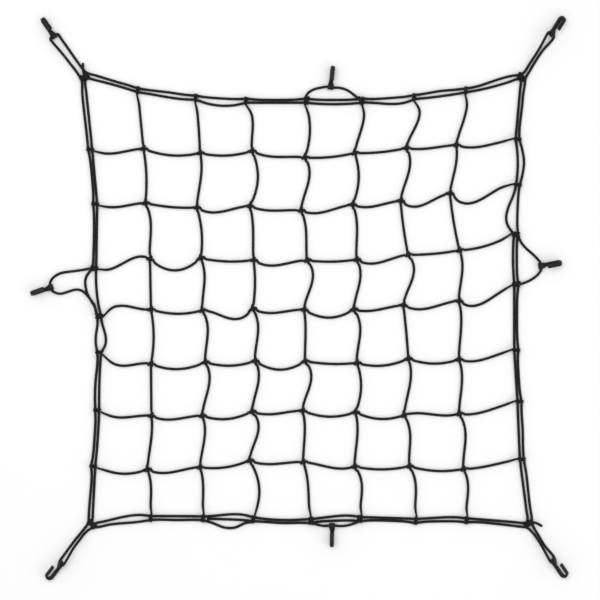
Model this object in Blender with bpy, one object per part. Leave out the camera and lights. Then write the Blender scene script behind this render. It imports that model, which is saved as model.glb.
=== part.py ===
"""Elastic cargo net laid out flat, with a border cord and eight moulded hooks.

Metres, +Z up. The net lies on Z = 0 with its top edge towards +Y. Every cord lies on the floor between
its knots, so the middle of a cord is always as high as the cord or knot is thick there.
"""

import math

import bmesh
import bpy
from mathutils import Euler, Matrix, Vector

# Cord and knots
CORD_RADIUS = 0.0025
KNOT_RADIUS = 0.0056
EDGE_KNOT_RADIUS = 0.0047
CORNER_KNOT_RADIUS = 0.0060
KNOT_REACH = 0.0068  # from the middle of a knot to bare cord
KNOT_SHOULDER = 0.0042  # from the middle of a knot to where its lump turns in
KNOT_SHOULDER_SHARE = 0.86
KNOT_END = 0.0036  # from the middle of an edge knot to the flat of its outer end
KNOT_END_SHARE = 0.72
CORD_SIDES = 6
MESHES = 8  # along each side of the net

# The lay-out tables count in steps of this size; 54 steps make one mesh
STEP = 0.00186
MIDDLE_ACROSS = 299.3
MIDDLE_DOWN = 299.0

# Places of the knots: one row for each cross cord, top to bottom, one column for each long cord, left to right
KNOTS_ACROSS = (
    (83.5, 138.0, 196.0, 246.0, 305.5, 362.5, 414.0, 465.7, 522.4),
    (91.0, 143.5, 200.0, 252.0, 304.8, 354.5, 406.3, 456.0, 516.7),
    (96.0, 145.4, 196.8, 249.8, 301.0, 352.5, 400.5, 449.8, 517.0),
    (95.0, 150.0, 200.7, 253.5, 307.0, 356.5, 408.0, 459.3, 515.0),
    (100.0, 151.0, 202.2, 252.7, 304.0, 353.7, 403.3, 458.7, 515.4),
    (100.0, 151.0, 205.3, 255.0, 305.0, 356.8, 408.2, 458.8, 515.4),
    (98.0, 151.5, 202.2, 252.0, 302.5, 355.3, 404.0, 459.0, 518.6),
    (94.1, 147.3, 200.0, 249.6, 303.2, 354.5, 409.3, 463.3, 521.0),
    (91.0, 150.8, 203.0, 253.0, 310.0, 360.5, 415.4, 466.0, 529.3),
)
KNOTS_DOWN = (
    (76.5, 91.0, 98.5, 101.5, 101.5, 101.5, 98.0, 91.2, 76.5),
    (149.5, 148.8, 153.0, 151.0, 157.5, 153.0, 148.0, 145.0, 139.5),
    (204.0, 203.0, 207.5, 206.0, 210.5, 204.5, 200.8, 193.3, 185.0),
    (267.5, 259.0, 258.0, 260.0, 260.3, 259.5, 254.7, 250.2, 233.6),
    (317.0, 309.3, 310.3, 308.7, 309.5, 309.3, 305.0, 300.7, 285.2),
    (352.0, 363.8, 362.0, 360.8, 361.0, 362.8, 358.5, 359.3, 350.0),
    (409.8, 415.7, 415.5, 411.3, 410.5, 412.0, 415.0, 413.6, 401.3),
    (465.8, 469.2, 467.0, 460.3, 461.8, 466.3, 466.0, 468.8, 459.0),
    (524.8, 517.2, 517.5, 518.4, 520.0, 518.2, 520.0, 519.4, 524.5),
)

# How the net's cord bows between its knots, in steps: down the net on cross cords, to the right on long cords.
# The letter after each bow says where it is widest: e early, m in the middle, l late, s bows one way, then the other,
# h early, then a little the other way.
CROSS_BOWS = (
    ((-0.8, 1.3, 4.5, 0.0, 1.5, 3.5, 0.5, 1.5), "mlmmmlmm"),
    ((4.5, 4.6, 3.7, 3.3, 2.0, 1.8, 2.0, 4.2), "emmemmee"),
    ((3.7, 1.9, 5.6, 2.9, 4.6, 3.9, 8.4, 12.4), "emeeeeeh"),
    ((4.2, 12.0, 2.5, 5.6, 1.8, 5.7, 1.4, 3.8), "smmememm"),
    ((-8.5, 4.0, 10.0, 4.1, 8.3, 3.0, 5.7, 9.8), "emlemeee"),
    ((9.3, 6.2, 4.3, 8.8, 2.0, 5.0, 4.7, 4.6), "emmmmmme"),
    ((5.5, 4.0, 5.6, 3.3, 5.4, 5.4, -1.6, 3.6), "eememmse"),
    ((6.1, 4.5, 3.7, 3.3, 3.6, 3.2, 3.5, 1.5), "memelmme"),
    ((-3.0, 0.0, -2.7, 2.0, -2.0, 0.0, -1.2, 0.0), "lmlmlmlm"),
)
LONG_BOWS = (
    ((0.0, 0.0, 0.0, -2.0, 4.8, -0.8, 0.5, 0.0), "mmmmlmmm"),
    ((0.0, 2.0, 3.8, 0.0, 2.7, 0.0, 1.7, 2.5), "mmemmmee"),
    ((0.6, 2.6, 3.0, 3.4, 4.6, 5.4, 3.6, 2.1), "memeeeee"),
    ((4.5, 7.0, 1.8, 1.9, 4.7, 4.9, 7.5, 8.0), "ememeeem"),
    ((4.8, 6.0, 2.7, 7.0, 1.2, 7.2, 2.1, 2.1), "meeeeeee"),
    ((3.8, 5.2, 3.0, 4.9, 5.5, 5.0, 2.5, 5.2), "emeeemee"),
    ((8.0, 5.6, -0.8, 7.5, 0.4, 4.0, 4.2, 4.2), "eememeee"),
    ((3.8, 2.4, -1.0, 3.3, 2.5, 3.1, 4.9, 3.8), "eemeeeee"),
    ((0.0, 2.2, -8.4, -1.0, 0.0, 0.0, 0.0, 0.0), "mmlmmmmm"),
)

# The net's own edge lies inside the line of the edge knots, the border cord outside it
EDGE_INSET = 1.35
BORDER_AT_KNOT = 2.6
BORDER_BETWEEN = 1.7

# Where the border cord bows away from the net's edge: side and mesh, in the order in which it is laid, in steps
BORDER_BOWS = {
    ("bottom", 0): (1.5, "l"),
    ("bottom", 1): (0.9, "m"),
    ("bottom", 3): (2.0, "m"),
    ("right", 0): (1.8, "l"),
    ("right", 1): (1.1, "m"),
    ("right", 6): (5.4, "m"),
    ("top", 1): (1.7, "m"),
    ("top", 6): (0.8, "m"),
    ("top", 7): (2.2, "m"),
    ("left", 0): (1.5, "m"),
    ("left", 3): (10.2, "e"),
    ("left", 4): (2.7, "l"),
    ("left", 5): (2.0, "l"),
}

# Lay of the border cord round each corner, out to the hook and back, as (across, down) places
CORNER_LAYS = {
    "bottom_right": (
        (
            (504.0, 524.6), (515.0, 525.9), (522.4, 527.2), (527.7, 528.4), (531.4, 531.2),
            (536.5, 537.8), (541.4, 545.8),
        ),
        ((543.6, 544.4), (539.2, 536.6), (535.1, 530.0), (532.9, 525.3), (532.4, 519.5), (530.2, 509.0)),
    ),
    "top_right": (
        (
            (521.9, 107.0), (523.3, 92.5), (525.1, 84.0), (526.5, 77.6), (530.8, 69.0),
            (535.3, 61.5), (539.4, 55.0), (544.3, 48.6),
        ),
        (
            (540.0, 47.2), (536.0, 53.8), (532.1, 59.9), (527.6, 66.9), (523.9, 72.8),
            (517.6, 74.5), (510.0, 76.2), (500.0, 78.9),
        ),
    ),
    "top_left": (
        ((118.0, 82.3), (97.0, 75.9), (90.0, 73.6), (84.4, 70.6), (78.0, 62.6), (68.8, 49.4)),
        ((63.5, 55.0), (71.0, 64.7), (76.2, 71.3), (79.3, 77.5), (82.0, 84.0), (82.2, 92.0)),
    ),
    "bottom_left": (
        ((89.5, 505.0), (88.6, 516.3), (87.1, 523.8), (83.2, 530.0), (77.7, 536.8), (71.7, 544.5)),
        ((74.7, 546.4), (79.5, 540.2), (84.1, 533.9), (88.6, 529.8), (93.0, 528.2), (99.5, 527.2), (108.0, 524.7)),
    ),
}

# The two ends of the border cord overlap along the third mesh of the bottom edge
BORDER_START = (207.5, 518.6)
BORDER_END_LAY = ((214.0, 523.4), (224.0, 527.4), (235.0, 527.6), (243.0, 523.8), (247.0, 522.2))

# Cut ends of the net's cord that stand out of two corner knots, as (across, down) places
TAILS = {
    "top_left": ((84.5, 77.5), (83.9, 72.6), (83.4, 68.5), (83.2, 63.8)),
    "bottom_right": ((528.3, 523.5), (532.4, 521.9), (536.5, 522.9), (541.4, 525.7)),
}

# Hooks: barrel's middle (across, down), heading of the pull and lean of the tip, in degrees
HOOKS = {
    "bottom_right": (552.6, 560.0, -55.5, -54.0),
    "right": (540.4, 266.0, 11.0, 21.0),
    "top_right": (551.1, 34.6, 58.0, 38.0),
    "top": (330.5, 87.4, 84.0, 6.0),
    "top_left": (54.1, 36.4, 125.0, 16.0),
    "left": (51.2, 287.4, 199.0, 11.0),
    "bottom_left": (61.6, 562.8, 232.5, 55.0),
    "bottom": (332.1, 525.4, 269.5, 4.0),
}

# Lay of the side loops from knot to hook and from hook to knot, as (across, down) places
SIDE_LOOPS = {
    "right": (
        ((516.4, 234.6), (519.3, 239.5), (523.0, 245.4), (528.6, 250.8), (534.6, 256.0)),
        ((537.3, 275.2), (531.4, 279.6), (524.6, 282.8), (519.4, 284.4), (516.9, 285.2)),
    ),
    "top": (
        ((305.7, 100.0), (305.6, 96.8), (308.0, 92.8), (313.8, 89.4), (321.5, 87.6)),
        ((341.4, 88.2), (347.2, 90.2), (352.0, 93.4), (356.8, 97.4), (359.8, 100.3)),
    ),
    "left": (
        ((96.7, 307.4), (93.0, 302.7), (87.8, 295.4), (82.6, 290.9), (77.0, 289.3), (69.0, 291.4), (60.0, 294.0)),
        ((52.6, 278.2), (60.5, 273.2), (70.5, 271.6), (83.0, 269.9), (90.0, 268.4), (93.6, 267.7)),
    ),
    "bottom": (
        ((311.2, 521.2), (313.6, 523.0), (318.0, 524.8), (323.0, 525.8)),
        ((341.5, 526.0), (348.2, 525.2), (354.0, 523.4), (358.4, 520.9)),
    ),
}
RIDE_OVER_HEIGHT = 0.0059  # a loop's cord lies this much higher where it crosses the border cord
RIDE_OVER_REACH = 0.012

# Moulded hook: a barrel for the cord, and a J that lies square to it. Its own +Y is the pull.
BARREL_RADIUS = 0.0050
BARREL_HALF = 0.0055
CORD_HOLE_RADIUS = 0.0031
HOOK_HALF_WIDTH = 0.00375
SHANK_THICK = 0.0055
THROAT = 0.0075
TIP_THICK = 0.0040
BEND_RADIUS = (SHANK_THICK + THROAT + TIP_THICK) / 2
HOOK_REACH = 0.0400  # barrel's middle to the outside of the bend
TIP_LENGTH = 0.0200
SEAT_HALF = 0.0015
ROOT_LENGTH = 0.0125
LEAD = 0.0006  # straight cord past the barrel
TURN_RADIUS = 0.0029

MATERIALS = {
    "cord": ((0.022, 0.022, 0.024), 0.78),
    "hook": ((0.016, 0.016, 0.017), 0.42),
}


def clear_scene():
    for thing in list(bpy.data.objects):
        bpy.data.objects.remove(thing, do_unlink=True)


def new_collection(name, hidden=False):
    collection = bpy.data.collections.new(name)
    bpy.context.scene.collection.children.link(collection)
    collection.hide_render = hidden
    return collection


def new_material(name):
    colour, roughness = MATERIALS[name]
    material = bpy.data.materials.new(name)
    material.use_nodes = True
    shader = material.node_tree.nodes["Principled BSDF"]
    shader.inputs["Base Color"].default_value = (*colour, 1.0)
    shader.inputs["Roughness"].default_value = roughness
    shader.inputs["Metallic"].default_value = 0.0
    return material


def place(across, down, height=CORD_RADIUS):
    return Vector(((across - MIDDLE_ACROSS) * STEP, (MIDDLE_DOWN - down) * STEP, height))


def plan(point):
    return Vector((point.x, point.y, 0.0))


def knot_place(row, column):
    """Middle of a knot of the net. Those on the edge lie a little inside the tables' places."""
    inset = EDGE_INSET * STEP
    point = place(KNOTS_ACROSS[row][column], KNOTS_DOWN[row][column], knot_radius(row, column))
    if column in (0, MESHES):
        point.x += inset if column == 0 else -inset
    if row in (0, MESHES):
        point.y += inset if row == MESHES else -inset
    return point


def knot_radius(row, column):
    edges = (row in (0, MESHES)) + (column in (0, MESHES))
    return (KNOT_RADIUS, EDGE_KNOT_RADIUS, CORNER_KNOT_RADIUS)[edges]


def bow_share(shape, share):
    """How much of its bow a cord has at this share of the way from knot to knot."""
    rest = 1.0 - share
    if shape == "e":
        return 6.75 * share * rest * rest
    if shape == "l":
        return 6.75 * share * share * rest
    if shape == "s":
        return 10.4 * share * rest * (rest - share)
    if shape == "h":
        return 9.4 * share * rest * (0.82 - share)
    return 4.0 * share * rest


def bow_stations(bow, shape):
    """Shares of the way between two knots at which a bowed cord gets a point."""
    if abs(bow) < 3.4 and shape != "s":
        return (0.5,)
    if shape == "h":
        return (0.2, 0.4, 0.62, 0.84)
    if shape == "e":
        return (0.24, 0.48, 0.74) if abs(bow) > 8.0 else (0.26, 0.6)
    if shape == "l":
        return (0.4, 0.74)
    return (0.25, 0.5, 0.75) if abs(bow) > 8.0 or shape == "s" else (0.34, 0.66)


def bowed_points(start, end, bow, shape, bow_way):
    """Points on the floor along a bowed cord between two knots, without the knots."""
    points = []
    for share in bow_stations(bow, shape):
        point = start.lerp(end, share) + bow_way * (bow * STEP * bow_share(shape, share))
        point.z = CORD_RADIUS
        points.append(point)
    return points


def beside_knot(knot, toward):
    """(point, radius) at a knot's shoulder and at the bare cord beside it, on the side of the next point."""
    way = (plan(toward) - plan(knot)).normalized()
    shoulder_radius = knot.z * KNOT_SHOULDER_SHARE
    shoulder = plan(knot) + way * KNOT_SHOULDER
    bare = plan(knot) + way * KNOT_REACH
    shoulder.z = shoulder_radius
    bare.z = CORD_RADIUS
    return [(shoulder, shoulder_radius), (bare, CORD_RADIUS)]


def knot_end(knot, inner):
    """(point, radius) of the round end of a knot on the net's edge."""
    radius = knot.z * KNOT_END_SHARE
    point = plan(knot) + (plan(knot) - plan(inner)).normalized() * KNOT_END
    point.z = radius
    return point, radius


def cross_cord(row):
    """(point, radius) along a cross cord, which carries the lumps of its knots."""
    knots = [knot_place(row, column) for column in range(MESHES + 1)]
    bows, shapes = CROSS_BOWS[row]
    stations = [(knots[0], knots[0].z)]
    for start, end, bow, shape in zip(knots, knots[1:], bows, shapes):
        between = bowed_points(start, end, bow, shape, Vector((0.0, -1.0, 0.0)))
        stations += beside_knot(start, between[0])
        stations += [(point, CORD_RADIUS) for point in between]
        stations += beside_knot(end, between[-1])[::-1]
        stations.append((end, end.z))
    return [knot_end(knots[0], knots[1]), *stations, knot_end(knots[-1], knots[-2])]


def long_cord(column):
    """(point, radius) along a long cord, which runs through the cross cords' knots on the floor."""
    knots = [plan(knot_place(row, column)) for row in range(MESHES + 1)]
    for knot in knots:
        knot.z = CORD_RADIUS
    points = [knots[0]]
    for start, end, bow, shape in zip(knots, knots[1:], *LONG_BOWS[column]):
        points += bowed_points(start, end, bow, shape, Vector((1.0, 0.0, 0.0)))
        points.append(end)
    return [(point, CORD_RADIUS) for point in points]


def tail(corner):
    """A cut end of cord that leaves a corner knot over the border cord and comes down to the floor."""
    heights = (CORNER_KNOT_RADIUS, 0.0090, 0.0087, 0.0056)
    return [(place(*spot, height), CORD_RADIUS) for spot, height in zip(TAILS[corner], heights)]


def tube_curve(name, stations, sides):
    """A cord as a bevelled poly curve through (point, radius) stations."""
    curve = bpy.data.curves.new(name, "CURVE")
    curve.dimensions = "3D"
    curve.bevel_depth = CORD_RADIUS
    curve.bevel_resolution = sides // 2 - 2
    curve.use_fill_caps = True
    curve.twist_mode = "MINIMUM"
    spline = curve.splines.new("POLY")
    spline.points.add(len(stations) - 1)
    for point, (spot, radius) in zip(spline.points, stations):
        point.co = (*spot, 1.0)
        point.radius = radius / CORD_RADIUS
    return bpy.data.objects.new(name, curve)


def tubes_as_mesh(name, all_stations, sides, collection):
    """Several cords that don't meet, as one mesh object with welded caps."""
    joined = bmesh.new()
    for number, stations in enumerate(all_stations):
        cord = tube_curve(f"{name}_{number}", stations, sides)
        collection.objects.link(cord)
        graph = bpy.context.evaluated_depsgraph_get()
        mesh = bpy.data.meshes.new_from_object(cord.evaluated_get(graph))
        joined.from_mesh(mesh)
        bpy.data.objects.remove(cord, do_unlink=True)
        bpy.data.meshes.remove(mesh)
    bmesh.ops.remove_doubles(joined, verts=joined.verts, dist=0.00001)
    bmesh.ops.recalc_face_normals(joined, faces=joined.faces)
    result = bpy.data.meshes.new(name)
    joined.to_mesh(result)
    joined.free()
    made = bpy.data.objects.new(name, result)
    collection.objects.link(made)
    return made


def as_cutter(thing):
    thing.hide_render = True
    thing.display_type = "WIRE"


def add_boolean(thing, other, operation):
    modifier = thing.modifiers.new(operation.lower(), "BOOLEAN")
    modifier.operation = operation
    modifier.object = other
    modifier.solver = "EXACT"
    return modifier


def make_net(parts, cutters, material):
    """The net is one solid: its cross cords, its long cords and two cord tails, fused where they are knotted."""
    rows = [cross_cord(row) for row in range(MESHES + 1)]
    columns = [long_cord(column) for column in range(MESHES + 1)]
    net = tubes_as_mesh("net_mesh", rows, CORD_SIDES, parts)
    for name, lays in (("long_cords", columns), ("cord_tails", [tail(corner) for corner in TAILS])):
        other = tubes_as_mesh(name, lays, CORD_SIDES, cutters)
        as_cutter(other)
        add_boolean(net, other, "UNION")
    net.data.materials.append(material)
    return net


def smooth_route(points, longest=0.014):
    """Points on a centripetal Catmull-Rom curve through the given ones, close together where they are far apart."""
    ends = [points[0] * 2 - points[1], *points, points[-1] * 2 - points[-2]]
    route = [points[0].copy()]
    for before, start, end, after in zip(ends, ends[1:], ends[2:], ends[3:]):
        knots = [0.0]
        for one, two in ((before, start), (start, end), (end, after)):
            knots.append(knots[-1] + math.sqrt((two - one).length))
        count = max(1, math.ceil((end - start).length / longest))
        for number in range(1, count + 1):
            at = knots[1] + (knots[2] - knots[1]) * number / count
            route.append(spline_point((before, start, end, after), knots, at))
    return route


def spline_point(points, knots, at):
    """One point of a Catmull-Rom span, by repeated mixing of its four control points."""
    level = list(points)
    for span in (1, 2, 3):
        if span == 3:
            pairs = [(0, 1, 1, 2)]
        else:
            pairs = [(index, index + 1, index, index + span) for index in range(4 - span)]
        level = [
            level[one] * ((knots[high] - at) / (knots[high] - knots[low]))
            + level[two] * ((at - knots[low]) / (knots[high] - knots[low]))
            for one, two, low, high in pairs
        ]
    return level[0]


def hook_matrix(side):
    """Where a hook lies: its barrel rests on the floor or on its own cord, and its bend tips down to the floor."""
    across, down, heading, lean = HOOKS[side]
    slope = math.radians(lean)
    low_barrel = BARREL_RADIUS * math.cos(slope) + BARREL_HALF * abs(math.sin(slope))
    turned_cord = CORD_RADIUS + (BARREL_HALF + LEAD + TURN_RADIUS) * abs(math.sin(slope))
    height = max(low_barrel, turned_cord)
    low_bend = BARREL_RADIUS * math.cos(slope) + HOOK_HALF_WIDTH * abs(math.sin(slope))
    low_reach = HOOK_REACH - BEND_RADIUS * (1 - 0.22 * abs(math.sin(slope)))
    pitch = math.asin((height - low_bend) / low_reach)
    turn = Euler((-pitch, slope, math.radians(heading) - math.pi / 2), "YXZ")
    return Matrix.Translation(place(across, down, height)) @ turn.to_matrix().to_4x4()


def round_hook_points(hook, side, count=3):
    """Cord from one end of the barrel round a quarter turn towards the net, in the hook's own frame."""
    straight = BARREL_HALF + LEAD
    spots = [(side * BARREL_HALF, 0.0), (side * straight, 0.0)]
    for number in range(1, count + 1):
        angle = math.pi / 2 * number / count
        along = straight + TURN_RADIUS * math.sin(angle)
        spots.append((side * along, -TURN_RADIUS * (1 - math.cos(angle))))
    spots.append((side * (straight + TURN_RADIUS) * 0.98, -0.0085))
    return [hook @ Vector((along, back, 0.0)) for along, back in spots]


def lifted(spots, hook_end, corner_knot):
    """Plan places raised evenly from the floor at the corner knot to the cord's height at the hook."""
    whole = (plan(hook_end) - plan(corner_knot)).length
    points = []
    for spot in spots:
        point = place(*spot)
        share = ((plan(point) - plan(corner_knot)).length - 0.014) / (whole - 0.014)
        share = min(max(share, 0.0), 1.0)
        nearer_hook = (plan(hook_end) - plan(point)).length < whole
        point.z += (hook_end.z - CORD_RADIUS) * share * nearer_hook
        points.append(point)
    return points


def corner_points(corner, knot):
    """The border cord's points out to a corner hook, through its barrel and back."""
    out_spots, back_spots = CORNER_LAYS[corner]
    hook = hook_matrix(corner)
    barrel_way = plan(hook @ Vector((1, 0, 0)) - hook.translation)
    incoming = 1 if barrel_way.dot(place(*out_spots[-1]) - place(*back_spots[0])) > 0 else -1
    going_in = round_hook_points(hook, incoming)[::-1]
    coming_out = round_hook_points(hook, -incoming)
    return [
        *lifted(out_spots, going_in[0], knot),
        *going_in,
        *coming_out,
        *lifted(back_spots, coming_out[-1], knot),
    ]


def side_points(name, knots, outward):
    """The border cord's points along one side, past the knots between two corners."""
    points = []
    for mesh, (start, end) in enumerate(zip(knots, knots[1:])):
        chord = end - start
        away = Vector((-chord.y, chord.x, 0.0)).normalized()
        away = away if away.dot(outward) > 0 else -away
        bow, shape = BORDER_BOWS.get((name, mesh), (0.0, "m"))
        shares = (0.2, 0.5, 0.8) if bow else (0.2, 0.8)
        if mesh == 0:
            shares = shares[-1:]
        else:
            points.append(start + outward * (BORDER_AT_KNOT * STEP))
        if mesh == MESHES - 1:
            shares = shares[:1]
        for share in shares:
            offset = (BORDER_BETWEEN + bow * bow_share(shape, share)) * STEP
            points.append(start.lerp(end, share) + away * offset)
    return points


def side_knots(name):
    """Table places of the knots of one side, in the order in which the border cord passes them."""
    last = MESHES
    spots = {
        "bottom": [(last, number) for number in range(last + 1)],
        "right": [(number, last) for number in range(last, -1, -1)],
        "top": [(0, number) for number in range(last, -1, -1)],
        "left": [(number, 0) for number in range(last + 1)],
    }[name]
    return [place(KNOTS_ACROSS[row][column], KNOTS_DOWN[row][column]) for row, column in spots]


def border_route():
    """The border cord starts inside the bottom edge, runs right round the net and ends beside its own start."""
    ways = {
        "bottom": Vector((0.0, -1.0, 0.0)),
        "right": Vector((1.0, 0.0, 0.0)),
        "top": Vector((0.0, 1.0, 0.0)),
        "left": Vector((-1.0, 0.0, 0.0)),
    }
    bottom = side_points("bottom", side_knots("bottom"), ways["bottom"])
    first_knot = side_knots("bottom")[2] + ways["bottom"] * (BORDER_AT_KNOT * STEP)
    second_mesh = bottom.index(first_knot)
    points = [place(*BORDER_START), *bottom[second_mesh + 2:]]
    for corner, side in (
        ("bottom_right", "right"), ("top_right", "top"), ("top_left", "left"), ("bottom_left", None),
    ):
        knot = {
            "bottom_right": (MESHES, MESHES), "top_right": (0, MESHES),
            "top_left": (0, 0), "bottom_left": (MESHES, 0),
        }[corner]
        points.extend(corner_points(corner, place(KNOTS_ACROSS[knot[0]][knot[1]], KNOTS_DOWN[knot[0]][knot[1]])))
        if side:
            points.extend(side_points(side, side_knots(side), ways[side]))
    points.extend(bottom[: second_mesh + 1])
    points.extend(place(*spot) for spot in BORDER_END_LAY)
    return above_floor(smooth_route(points, longest=0.065))


def above_floor(route):
    for point in route:
        point.z = max(point.z, CORD_RADIUS)
    return route


def distance_to_path(point, path):
    """Shortest distance in plan from a point to a path of straight pieces."""
    shortest = math.inf
    for start, end in zip(path, path[1:]):
        run = plan(end) - plan(start)
        share = (plan(point) - plan(start)).dot(run) / max(run.length_squared, 1e-12)
        spot = plan(start) + run * min(max(share, 0.0), 1.0)
        shortest = min(shortest, (plan(point) - spot).length)
    return shortest


def loop_route(side, border):
    """A side loop: tied at one edge knot, through its hook's barrel, tied at the next; it rides over the border."""
    hook = hook_matrix(side)
    out_spots, back_spots = SIDE_LOOPS[side]
    out_points = [place(*spot) for spot in out_spots]
    back_points = [place(*spot) for spot in back_spots]
    ends = [
        [hook @ Vector((way * far, 0.0, 0.0)) for far in (BARREL_HALF + LEAD * 2, BARREL_HALF)]
        for way in (1, -1)
    ]
    if (ends[1][0] - out_points[-1]).length < (ends[0][0] - out_points[-1]).length:
        ends.reverse()
    through = [*ends[0], *ends[1][::-1]]
    route = smooth_route([*out_points, *through, *back_points], longest=0.0105)
    for point in route:
        near = min(distance_to_path(point, border) / RIDE_OVER_REACH, 1.0)
        ride = RIDE_OVER_HEIGHT * (0.5 + 0.5 * math.cos(math.pi * near))
        point.z = max(point.z, CORD_RADIUS + ride)
    return route


def add_cord(name, route, collection, material):
    cord = tube_curve(name, [(point, CORD_RADIUS) for point in route], CORD_SIDES)
    cord.data.materials.append(material)
    collection.objects.link(cord)
    return cord


def arc(middle_y, middle_z, radius, first, last, count):
    """Points of an arc in the hook's Y-Z plane; angles in degrees from +Y."""
    angles = [math.radians(first + (last - first) * number / count) for number in range(count + 1)]
    return [(middle_y + radius * math.cos(a), middle_z + radius * math.sin(a)) for a in angles]


def hook_profile():
    """Outline of the J in its own Y-Z plane: back of the shank, outer bend, tip, throat."""
    back = -BARREL_RADIUS
    shank_face = back + SHANK_THICK
    tip_face = shank_face + THROAT
    top = tip_face + TIP_THICK
    bend = HOOK_REACH - BEND_RADIUS
    inner_radius = THROAT / 2 - SEAT_HALF
    seat = HOOK_REACH - SHANK_THICK
    tip = bend - TIP_LENGTH
    outline = [(0.001, back)]
    outline += arc(bend, back + BEND_RADIUS, BEND_RADIUS, -90, 90, 9)
    outline += arc(tip + TIP_THICK / 2, top - TIP_THICK / 2, TIP_THICK / 2, 90, 270, 4)
    outline += arc(seat - inner_radius, tip_face - inner_radius, inner_radius, 90, 0, 3)
    outline += arc(seat - inner_radius, shank_face + inner_radius, inner_radius, 0, -90, 3)
    outline += [(0.001, shank_face)]
    return outline


def hook_mesh():
    """The J is an extruded outline; its root and barrel are the hull of a cylinder and a narrower block."""
    shape = bmesh.new()
    ring = [shape.verts.new((-HOOK_HALF_WIDTH, y, z)) for y, z in hook_profile()]
    face = shape.faces.new(ring)
    pushed = bmesh.ops.extrude_face_region(shape, geom=[face])
    moved = [item for item in pushed["geom"] if isinstance(item, bmesh.types.BMVert)]
    bmesh.ops.translate(shape, vec=(2 * HOOK_HALF_WIDTH, 0.0, 0.0), verts=moved)
    bmesh.ops.recalc_face_normals(shape, faces=shape.faces)
    mesh = bpy.data.meshes.new("hook_j")
    shape.to_mesh(mesh)
    shape.free()
    return mesh


def cylinder_mesh(name, radius, half_length, sides):
    """A cylinder along X, with a flat side down."""
    shape = bmesh.new()
    turn = Matrix.Rotation(math.pi / 2, 4, "Y") @ Matrix.Rotation(math.pi / sides, 4, "Z")
    bmesh.ops.create_cone(
        shape, cap_ends=True, segments=sides, radius1=radius, radius2=radius,
        depth=half_length * 2, matrix=turn,
    )
    mesh = bpy.data.meshes.new(name)
    shape.to_mesh(mesh)
    shape.free()
    return mesh


def root_mesh():
    """Barrel and flared root in one hull."""
    barrel = cylinder_mesh("barrel", BARREL_RADIUS, BARREL_HALF, 16)
    inset = 0.0004
    corners = [vert.co for vert in barrel.vertices]
    for x in (-HOOK_HALF_WIDTH + inset, HOOK_HALF_WIDTH - inset):
        for z in (-BARREL_RADIUS + inset, -BARREL_RADIUS + SHANK_THICK - inset):
            corners.append(Vector((x, ROOT_LENGTH, z)))
    shape = bmesh.new()
    for corner in corners:
        shape.verts.new(corner)
    bmesh.ops.convex_hull(shape, input=shape.verts)
    bmesh.ops.recalc_face_normals(shape, faces=shape.faces)
    mesh = bpy.data.meshes.new("hook_root")
    shape.to_mesh(mesh)
    shape.free()
    return mesh


def make_hooks(parts, cutters, material):
    """One object for each hook; all share the J's mesh, and each has its own root and cord hole beside it."""
    shapes = {
        "root": (root_mesh(), "UNION"),
        "hole": (cylinder_mesh("cord_hole", CORD_HOLE_RADIUS, BARREL_HALF + 0.002, 12), "DIFFERENCE"),
    }
    mesh = hook_mesh()
    mesh.materials.append(material)
    for side in HOOKS:
        hook = bpy.data.objects.new(f"hook_{side}", mesh)
        hook.matrix_world = hook_matrix(side)
        parts.objects.link(hook)
        for name, (shape, operation) in shapes.items():
            other = bpy.data.objects.new(f"{name}_{side}", shape)
            other.matrix_world = hook.matrix_world
            cutters.objects.link(other)
            as_cutter(other)
            add_boolean(hook, other, operation)


def main():
    clear_scene()
    parts = new_collection("cargo_net")
    cutters = new_collection("helpers", hidden=True)
    cord = new_material("cord")
    plastic = new_material("hook")
    make_net(parts, cutters, cord)
    border = border_route()
    add_cord("border_cord", border, parts, cord)
    for side in SIDE_LOOPS:
        add_cord(f"loop_{side}", loop_route(side, border), parts, cord)
    make_hooks(parts, cutters, plastic)


main()
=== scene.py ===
"""An elastic cargo net laid out flat: knotted braided cord, a border cord, side loops and moulded hooks.

Metres, +Z up. The net lies on Z = 0 with its top edge towards +Y. The tables and the lay of every cord are
those of the solids; the cords are only finer here, and their knots are tied.
"""

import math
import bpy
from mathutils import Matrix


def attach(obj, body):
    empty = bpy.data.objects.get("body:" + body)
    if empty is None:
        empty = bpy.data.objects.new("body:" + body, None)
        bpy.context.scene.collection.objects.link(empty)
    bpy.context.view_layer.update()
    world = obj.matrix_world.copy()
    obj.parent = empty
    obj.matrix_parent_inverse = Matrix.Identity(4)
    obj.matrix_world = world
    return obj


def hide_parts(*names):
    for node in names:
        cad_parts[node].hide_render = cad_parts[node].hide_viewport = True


bl_info = {
    "name": "Elastic cargo net",
    "version": (1, 0, 0),
    "blender": (4, 5, 0),
    "location": "3D View > Sidebar > Cargo net",
    "description": "Lays out an elastic cargo net with its border cord, side loops, hooks and stage",
    "category": "Object",
}

from itertools import zip_longest

import bpy
import numpy as np
from bpy.props import FloatProperty, FloatVectorProperty, IntProperty, PointerProperty
from mathutils import Euler, Matrix, Vector

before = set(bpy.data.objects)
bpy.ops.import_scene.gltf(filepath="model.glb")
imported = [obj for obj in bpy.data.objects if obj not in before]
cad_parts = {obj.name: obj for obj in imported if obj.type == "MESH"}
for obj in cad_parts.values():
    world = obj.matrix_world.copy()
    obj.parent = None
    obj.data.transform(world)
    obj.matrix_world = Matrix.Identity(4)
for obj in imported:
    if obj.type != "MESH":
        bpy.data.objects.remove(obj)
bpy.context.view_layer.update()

# --- Lay-out tables, in steps: one row for each cross cord, one column for each long cord ---
MESHES = 8
STEP = 0.00186
MIDDLE_ACROSS = 299.3
MIDDLE_DOWN = 299.0
CORD_RADIUS = 0.0025
MILLIMETRE = 0.001
UP = np.array((0.0, 0.0, 1.0))
SAME_PLACE = 1e-6
EVEN_SPACING = 0.0005  # of the points that are averaged to relax a path
SIDE_SHARES = (0.1, 0.9)  # where a cord's points between two knots begin and end
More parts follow.
